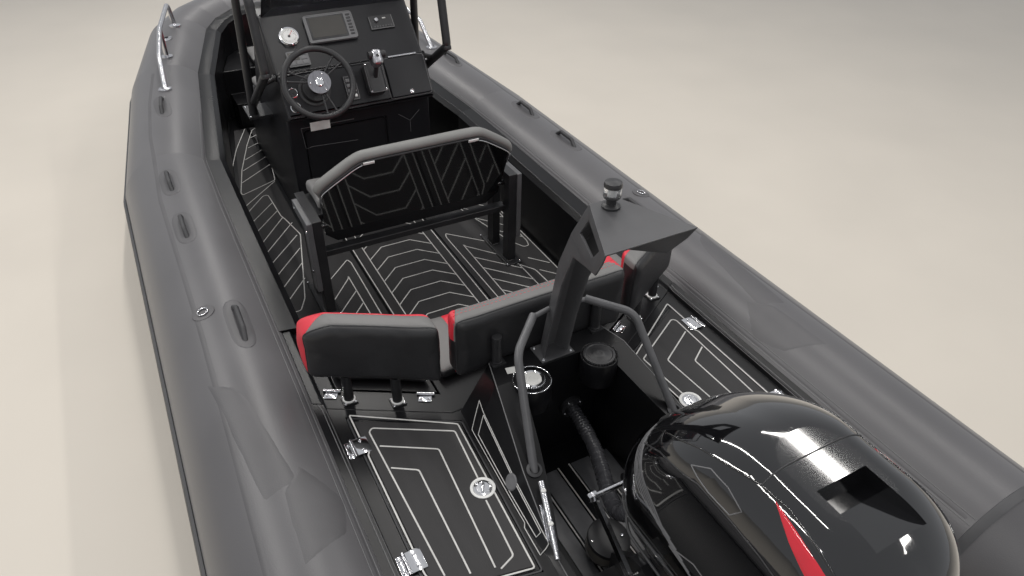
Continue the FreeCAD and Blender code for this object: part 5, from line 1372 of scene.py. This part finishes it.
# Mast: foot screws, and the all-round light with its flange, stem, lens, bulb and cap
screws("mast_screws", [((x, y, 0.6622), (0, 0, 1), 0.0055) for x in (-0.052, 0.052)
                       for y in (-1.915, -1.852)], CHROME, "boat")
light = (0, -2.114, 1.330)
lathe("light_base", light, (0, 0, 1), [(0.0245, 0.0), (0.0245, 0.006), (0.021, 0.009), (0.013, 0.011),
                                       (0.013, 0.026), (0.022, 0.029), (0.0235, 0.033), (0.0215, 0.0345),
                                       (0, 0.0345)], PLASTIC, "boat", 40)
lens = lathe("light_lens", light, (0, 0, 1),
             [(0, 0.0345), (0.0205, 0.0345), (0.0225, 0.038), (0.0225, 0.056), (0.0205, 0.0595),
              (0, 0.0595)], CLEAR, "boat", 40)
lathe("light_bulb", light, (0, 0, 1), [(0, 0.036), (0.007, 0.036), (0.0075, 0.052), (0, 0.056)], WHITE,
      "boat", 20)
cap = lathe("light_cap", light, (0, 0, 1),
            [(0, 0.0595), (0.0235, 0.0595), (0.024, 0.064), (0.022, 0.072), (0.012, 0.0755), (0, 0.076)],
            PLASTIC, "boat", 40)
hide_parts("anchor_light")

# Well: grey plank panels with light lines, hazed filter bowl, the hose's flange ring
PLANKS = ((-0.178, -0.125), (-0.108, -0.040), (0.020, 0.095), (0.112, 0.172))
for number, (x0, x1) in enumerate(PLANKS):
    low = snapped(((x0 + x1) / 2, -2.22, 0.215), deck_tree)[0].z
    slab("well_plank_%d" % number, (0, 0, low), FLAT, (x0, -2.44, -0.001), (x1, -2.02, 0.004), 0.002,
         PLASTIC_GREY, "boat", 2)
well_rows = []
for x in (-0.117, -0.032, 0.012, 0.104):
    heights = [(y, snapped((x, y, 0.215), deck_tree)[0].z + 0.0045) for y in (-2.02, -2.44)]
    well_rows.append(([Vector((x, y, z)) for y, z in heights], False))
ribbons("well_lines", well_rows, 0.005, LINE, "boat")
# The filter stays under the steering cylinder's sweep as the engine tilts
bowl_at = (-0.079, -2.369, 0.217)
lathe("filter_bowl", bowl_at, (0.1, -0.15, 1),
      [(0.030, 0.0), (0.056, 0.010), (0.064, 0.030), (0.064, 0.078), (0.061, 0.083), (0, 0.084)], BOWL,
      "boat", 40)
lathe("filter_ring", bowl_at, (0.1, -0.15, 1),
      [(0.064, 0.074), (0.0685, 0.076), (0.0685, 0.090), (0.062, 0.094), (0.030, 0.097), (0, 0.099)],
      PLASTIC, "boat", 40)
screws("filter_screws", [((-0.128, -2.374, 0.314), (0, -0.2, 1), 0.006),
                         ((-0.031, -2.394, 0.309), (0, -0.2, 1), 0.006)], CHROME, "boat")
flange = Vector((0.059, -1.942, 0.413))
lathe("flange_ring", flange, (0, -1, 0),
      [(0.0425, -0.010), (0.0425, 0.0025), (0.038, 0.0045), (0.030, 0.004), (0.0275, 0.008),
       (0.0265, 0.016), (0.0255, 0.016)], PLASTIC, "boat", 44)
screws("flange_screws", [(flange + Vector((0.0345 * math.cos(a), -0.0042, 0.0345 * math.sin(a))),
                          (0, -1, 0), 0.0042) for a in (0.5, 2.1, 3.7, 5.2)], CHROME, "boat")

# Engine cowl: ridges, seams, red stripes, lens-shaped panels, front ribs, chevrons and the casing's joints
cowl_tree = surface("cowl")
STRIPE_INSET = 0.022  # the starboard stripe's inner edge lies this much nearer the middle


def paired(name, points, maker):
    """Makes a piece to port and its mirror to starboard."""
    maker(name + "_port", [Vector(p) for p in points])
    maker(name + "_starboard", mirror(points))


# Lines of the cowl: ridge and side seam to port, lens to starboard; the chevron's points are (y, z)
RIDGE = [(-0.122, -2.536, 0.981), (-0.149, -2.643, 1.062), (-0.150, -2.702, 1.097), (-0.150, -2.770, 1.123),
         (-0.136, -2.855, 1.141), (-0.131, -2.923, 1.144), (-0.138, -2.990, 1.137), (-0.142, -3.060, 1.112),
         (-0.138, -3.110, 1.07)]
LENS = [(0.174, -2.716, 1.070), (0.166, -2.758, 1.100), (0.170, -2.810, 1.103), (0.176, -2.860, 1.090),
        (0.185, -2.843, 1.064), (0.184, -2.780, 1.062), (0.174, -2.716, 1.070)]
CHEVRON = [(-2.72, 0.80), (-2.80, 0.84), (-2.93, 0.82), (-2.86, 0.775), (-2.72, 0.80)]
SIDE_SEAM = [(-0.160, -2.545, 0.960), (-0.175, -2.619, 1.011), (-0.184, -2.751, 1.056),
             (-0.187, -2.848, 1.056), (-0.188, -2.933, 1.050), (-0.189, -2.990, 1.040),
             (-0.185, -3.060, 1.010)]
paired("cowl_ridge", RIDGE, lambda name, p: skin_line(name, p, cowl_tree, 0.0022, COWL, "engine", 0.0004))
paired("cowl_side_seam", SIDE_SEAM,
       lambda name, p: skin_line(name, p, cowl_tree, 0.0020, PLASTIC, "engine", 0.0002))
skin_line("cowl_cross_seam", [(-0.136, -2.855, 1.142), (-0.070, -2.850, 1.160), (0.070, -2.850, 1.160),
                              (0.136, -2.855, 1.142)], cowl_tree, 0.0018, PLASTIC, "engine", 0.0002)
for side, tag in SIDES:
    inset = 0.0 if side < 0 else STRIPE_INSET
    inner = [(side * (0.143 - inset / 2), -2.891, 1.150), (side * (0.150 - inset), -2.960, 1.140),
             (side * (0.152 - inset), -3.031, 1.120), (side * (0.146 - inset), -3.095, 1.080),
             (side * (0.134 - inset), -3.150, 1.00)]
    outer = [(side * 0.144, -2.893, 1.148), (side * 0.167, -2.960, 1.115), (side * 0.180, -3.031, 1.085),
             (side * 0.184, -3.090, 1.040), (side * 0.178, -3.130, 0.97)]
    skin_patch("cowl_stripe_" + tag, inner, outer, cowl_tree, RED_PAINT, "engine", 0.0009, 6, 60, 0.0006)
    skin_line("cowl_lens_" + tag, [(side * x, y, z) for x, y, z in LENS], cowl_tree, 0.0016, PLASTIC_GREY,
              "engine", 0.0002)
    for k in range(6):
        shift = 0.020 * k
        rib = [(side * (0.120 + 0.010 * k), -2.50 - shift * 0.6, 1.00 - 0.010 * k),
               (side * (0.160 + 0.006 * k), -2.53 - shift, 0.93 - 0.008 * k),
               (side * (0.178 + 0.003 * k), -2.60 - shift * 1.2, 0.86 - 0.010 * k),
               (side * (0.190 + 0.001 * k), -2.72 - shift * 1.2, 0.83 - 0.012 * k)]
        skin_line("cowl_rib_%s_%d" % (tag, k), rib, cowl_tree, 0.0018, PLASTIC_GREY, "engine", 0.0002, 0.02)
    chevron = [(side * 0.197, y, z) for y, z in CHEVRON]
    skin_line("cowl_chevron_" + tag, chevron, cowl_tree, 0.0016, TAPE_AND_EDGE_HIGHLIGHT, "engine", 0.0002)


def belt(name, z, mat, radius):
    """Closed line round the engine's casing at a height."""
    turn = [2 * math.pi * k / 96 for k in range(96)]
    path = [snapped((0.30 * math.cos(t), -2.81 + 0.45 * math.sin(t), z), cowl_tree)[0] for t in turn]
    path = [Vector((p.x, p.y, z)) for p in path]
    pipe(name, path, radius, mat, "engine", order=2, closed=True, fine=2)


belt("cowl_joint", 0.612, RUBBER, 0.0045)
belt("cowl_split", 0.705, PLASTIC, 0.0030)
# Rear latch of the cowl
slab("cowl_latch", (0, -3.1365, 0.66), FLAT, (-0.030, -0.006, -0.018), (0.030, 0.008, 0.018), 0.004,
     PLASTIC, "engine")

# Outboard: bracket bolts, nuts on the tilt axle and steering rod, water intakes, anode, propeller nut
# Both axles run across; their y and z
TILT_AXLE = (-2.600, 0.465)
STEERING_ROD = (-2.400, 0.590)
screws("bracket_bolts", [((side * x, -2.6465, z), (0, -1, 0), 0.011) for side in (-1, 1)
                         for x, z in ((0.155, 0.22), (0.155, 0.36))], STEEL, "boat")
for side in (-1, 1):
    lathe("tilt_nut_%d" % (side + 1), (side * 0.184, *TILT_AXLE), (side, 0, 0),
          [(0.021, 0), (0.021, 0.008), (0.017, 0.011), (0.008, 0.011)], STEEL, "tilt_unit", 6)
    lathe("rod_nut_%d" % (side + 1), (side * 0.172, *STEERING_ROD), (side, 0, 0),
          [(0.015, 0), (0.015, 0.010), (0.011, 0.013), (0, 0.013)], STEEL, "tilt_unit", 6)
    bm = bmesh.new()
    for k in range(6):
        at_slot = Matrix.Translation((side * 0.0555, -2.800 - 0.016 * k, -0.440))
        bmesh.ops.create_cube(bm, size=1, matrix=at_slot @ Matrix.Diagonal((0.006, 0.004, 0.060, 1)))
    bmesh.ops.bevel(bm, geom=bm.edges[:], offset=0.001, segments=1, affect="EDGES")
    from_bm("water_intake_%d" % (side + 1), bm, PLASTIC, "engine", False)
slab("anode", (0, -3.085, -0.262), FLAT, (-0.012, -0.045, -0.030), (0.012, 0.045, 0.0), 0.006, BRUSHED,
     "engine")
lathe("propeller_nut", (0, -3.1425, -0.470), (0, -1, 0),
      [(0.019, -0.001), (0.019, 0.010), (0.014, 0.013), (0.006, 0.018), (0, 0.019)], STEEL, "propeller", 6)
# Bolt near each end of the barrel that slides along the steering rod
BARREL_TOP = 0.6165
for side in (-1, 1):
    bolt = ((side * 0.052, STEERING_ROD[0], BARREL_TOP), (0, 0, 1), 0.006)
    screws("cylinder_bolts_%d" % (side + 1), [bolt], STEEL, "steering_cylinder")

# Tube: seam tapes, wear patches, handle pads, valves, rings; lines are for starboard and mirrored
TUBE_X = 0.939
TUBE_Z = 0.326
TUBE_RADIUS = 0.25
BOW_START = 0.358
BOW_LENGTH = 1.105
BOW_TURN_IN = 0.152
BOW_RISE = 0.078
OUTER_SEAM = [(1.040, -2.93, 0.55), (1.025, -1.699, 0.568), (1.019, -1.126, 0.568), (1.027, -0.083, 0.568),
              (0.990, 0.60, 0.595), (0.940, 1.00, 0.615), (0.862, 1.40, 0.640)]
INNER_SEAM = [(0.775, -2.93, 0.52), (0.775, -1.537, 0.519), (0.778, -0.126, 0.526), (0.765, 0.35, 0.530),
              (0.690, 0.90, 0.560)]
WEAR = [[(1.052, -1.407, 0.553), (1.040, -1.501, 0.561), (0.990, -1.993, 0.578)],
        [(0.969, -1.490, 0.578), (0.936, -1.573, 0.580), (0.877, -1.951, 0.571)]]
WEAR_AFT = [[(0.865, -1.890, 0.568), (0.771, -2.035, 0.514), (0.800, -2.160, 0.540)],
            [(0.930, -1.980, 0.578), (0.943, -2.100, 0.578), (0.943, -2.236, 0.578)]]
# Pads under the handles; columns: y, degrees inboard of the tube's top, the handle's length
HANDLE_PADS = ((0.047, -6, 0.19), (-0.400, -6, 0.19), (-1.160, 12, 0.22), (0.900, -4, 0.19))
VALVES = ((-0.73, 0.433), (0.42, 0.44), (-2.05, 0.45))
for side, tag in SIDES:
    tree = surface("tube_" + tag)
    for label, seam, half in (("outer", OUTER_SEAM, 0.016), ("inner", INNER_SEAM, 0.013)):
        edges = [[(side * (x + s * half), y, z) for x, y, z in seam] for s in (-1, 1)]
        skin_patch("tube_seam_%s_%s" % (label, tag), edges[0], edges[1], tree, PATCH, "boat", 0.0009, 3,
                   120, 0.001)
    for number, shift in enumerate((-0.016, 0.016)):
        skin_line("tube_edge_%s_%d" % (tag, number), [(side * (x + shift), y, z) for x, y, z in INNER_SEAM],
                  tree, 0.0011, TAPE_AND_EDGE_HIGHLIGHT, "boat", 0.0002, 0.03)
    for number, edges in enumerate((WEAR, WEAR_AFT)):
        sides = [[(side * x, y, z) for x, y, z in line] for line in edges]
        skin_patch("tube_patch_%d_%s" % (number, tag), sides[0], sides[1], tree, PATCH, "boat", 0.0013, 8,
                   30, 0.001)
    for y, angle, length in HANDLE_PADS:
        share = (y - BOW_START) / BOW_LENGTH
        centre_x = TUBE_X if share < 0 else TUBE_X - share * BOW_TURN_IN
        centre_z = TUBE_Z if share < 0 else TUBE_Z + 0.010 + share * BOW_RISE
        a = math.radians(angle)
        middle = Vector((centre_x - TUBE_RADIUS * math.sin(a), y, centre_z + TUBE_RADIUS * math.cos(a)))
        rims = []
        for s in (-1, 1):
            rims.append([(side * (middle.x + s * 0.046 * math.sqrt(max(0.0, 1 - (t / 10) ** 4))),
                          y + t / 10 * (length / 2 + 0.045), middle.z) for t in range(-10, 11)])
        skin_patch("handle_pad_%s_%d" % (tag, y * 1000 + 2000), rims[0], rims[1], tree, PATCH, "boat",
                   0.0022, 10, 24, 0.001)
    for y, z in VALVES:
        spot, normal = snapped((side * 0.672, y, z), tree)
        lathe("valve_%s_%d" % (tag, y * 1000 + 3000), spot, normal,
              [(0.034, -0.001), (0.034, 0.002), (0.026, 0.004), (0.022, 0.010), (0.016, 0.012),
               (0.006, 0.009), (0, 0.009)], PLASTIC, "boat", 32)
    spot, normal = snapped((side * 0.987, -1.04, 0.55), tree)
    lathe("tube_ring_pad_" + tag, spot, normal,
          [(0.042, -0.001), (0.041, 0.0015), (0.038, 0.0022), (0, 0.0026)], PATCH, "boat", 36)
    turn = [2 * math.pi * k / 24 for k in range(24)]
    flat = basis(normal, (0, 1, 0))
    ring = [spot + normal * 0.006 + flat @ Vector((0.019 * math.cos(t), 0.019 * math.sin(t), 0))
            for t in turn]
    pipe("tube_ring_" + tag, ring, 0.0028, STEEL, "boat", closed=True, fine=3)
    # Collar where the end cone meets the tube
    lathe("cone_collar_" + tag, (side * TUBE_X, -2.957, TUBE_Z), (0, -1, 0),
          [(0.2502, -0.022), (0.2518, -0.020), (0.2518, 0.004), (0.2502, 0.008)], STRAKE, "boat", 72)

# Pale beads where the side walls meet the deck beside the hatches
rim_tree = surface("deck_liner", "aft_deck")
for side in (-1, 1):
    for number, x in enumerate((0.712, 0.732)):
        skin_line("rim_bead_%d_%d" % (side + 1, number),
                  [(side * x, y, 0.50) for y in (-1.60, -2.00, -2.50)], rim_tree, 0.0014, TAPE_AND_EDGE_HIGHLIGHT, "boat",
                  0.0004, 0.04)

# Bow: rail flanges
bow_tree = surface("tube_bow", "tube_port", "tube_starboard")
for side in (-1, 1):
    for x, y in ((0.842, 1.109), (0.715, 1.820)):
        spot, normal = snapped((side * x, y, 0.68), bow_tree)
        lathe("bow_flange_%d_%d" % (side + 1, y * 1000), spot, normal,
              [(0.034, -0.001), (0.034, 0.003), (0.026, 0.006), (0.014, 0.010)], STEEL, "boat", 32)
# Low vents of the side walls, and the transom's drain plug
liner_tree = surface("deck_liner")
for side in (-1, 1):
    for k in range(5):
        skin_line("wall_vent_%d_%d" % (side + 1, k),
                  [(side * 0.672, 0.60 + 0.012 * k, 0.34), (side * 0.672, 0.60 + 0.012 * k, 0.43)],
                  liner_tree, 0.003, PLASTIC, "boat", 0.0005)
lathe("drain_plug", (0.28, -2.560, -0.10), (0, -1, 0),
      [(0.026, -0.001), (0.026, 0.004), (0.018, 0.006), (0.012, 0.014), (0, 0.014)], BRUSHED, "boat", 32)
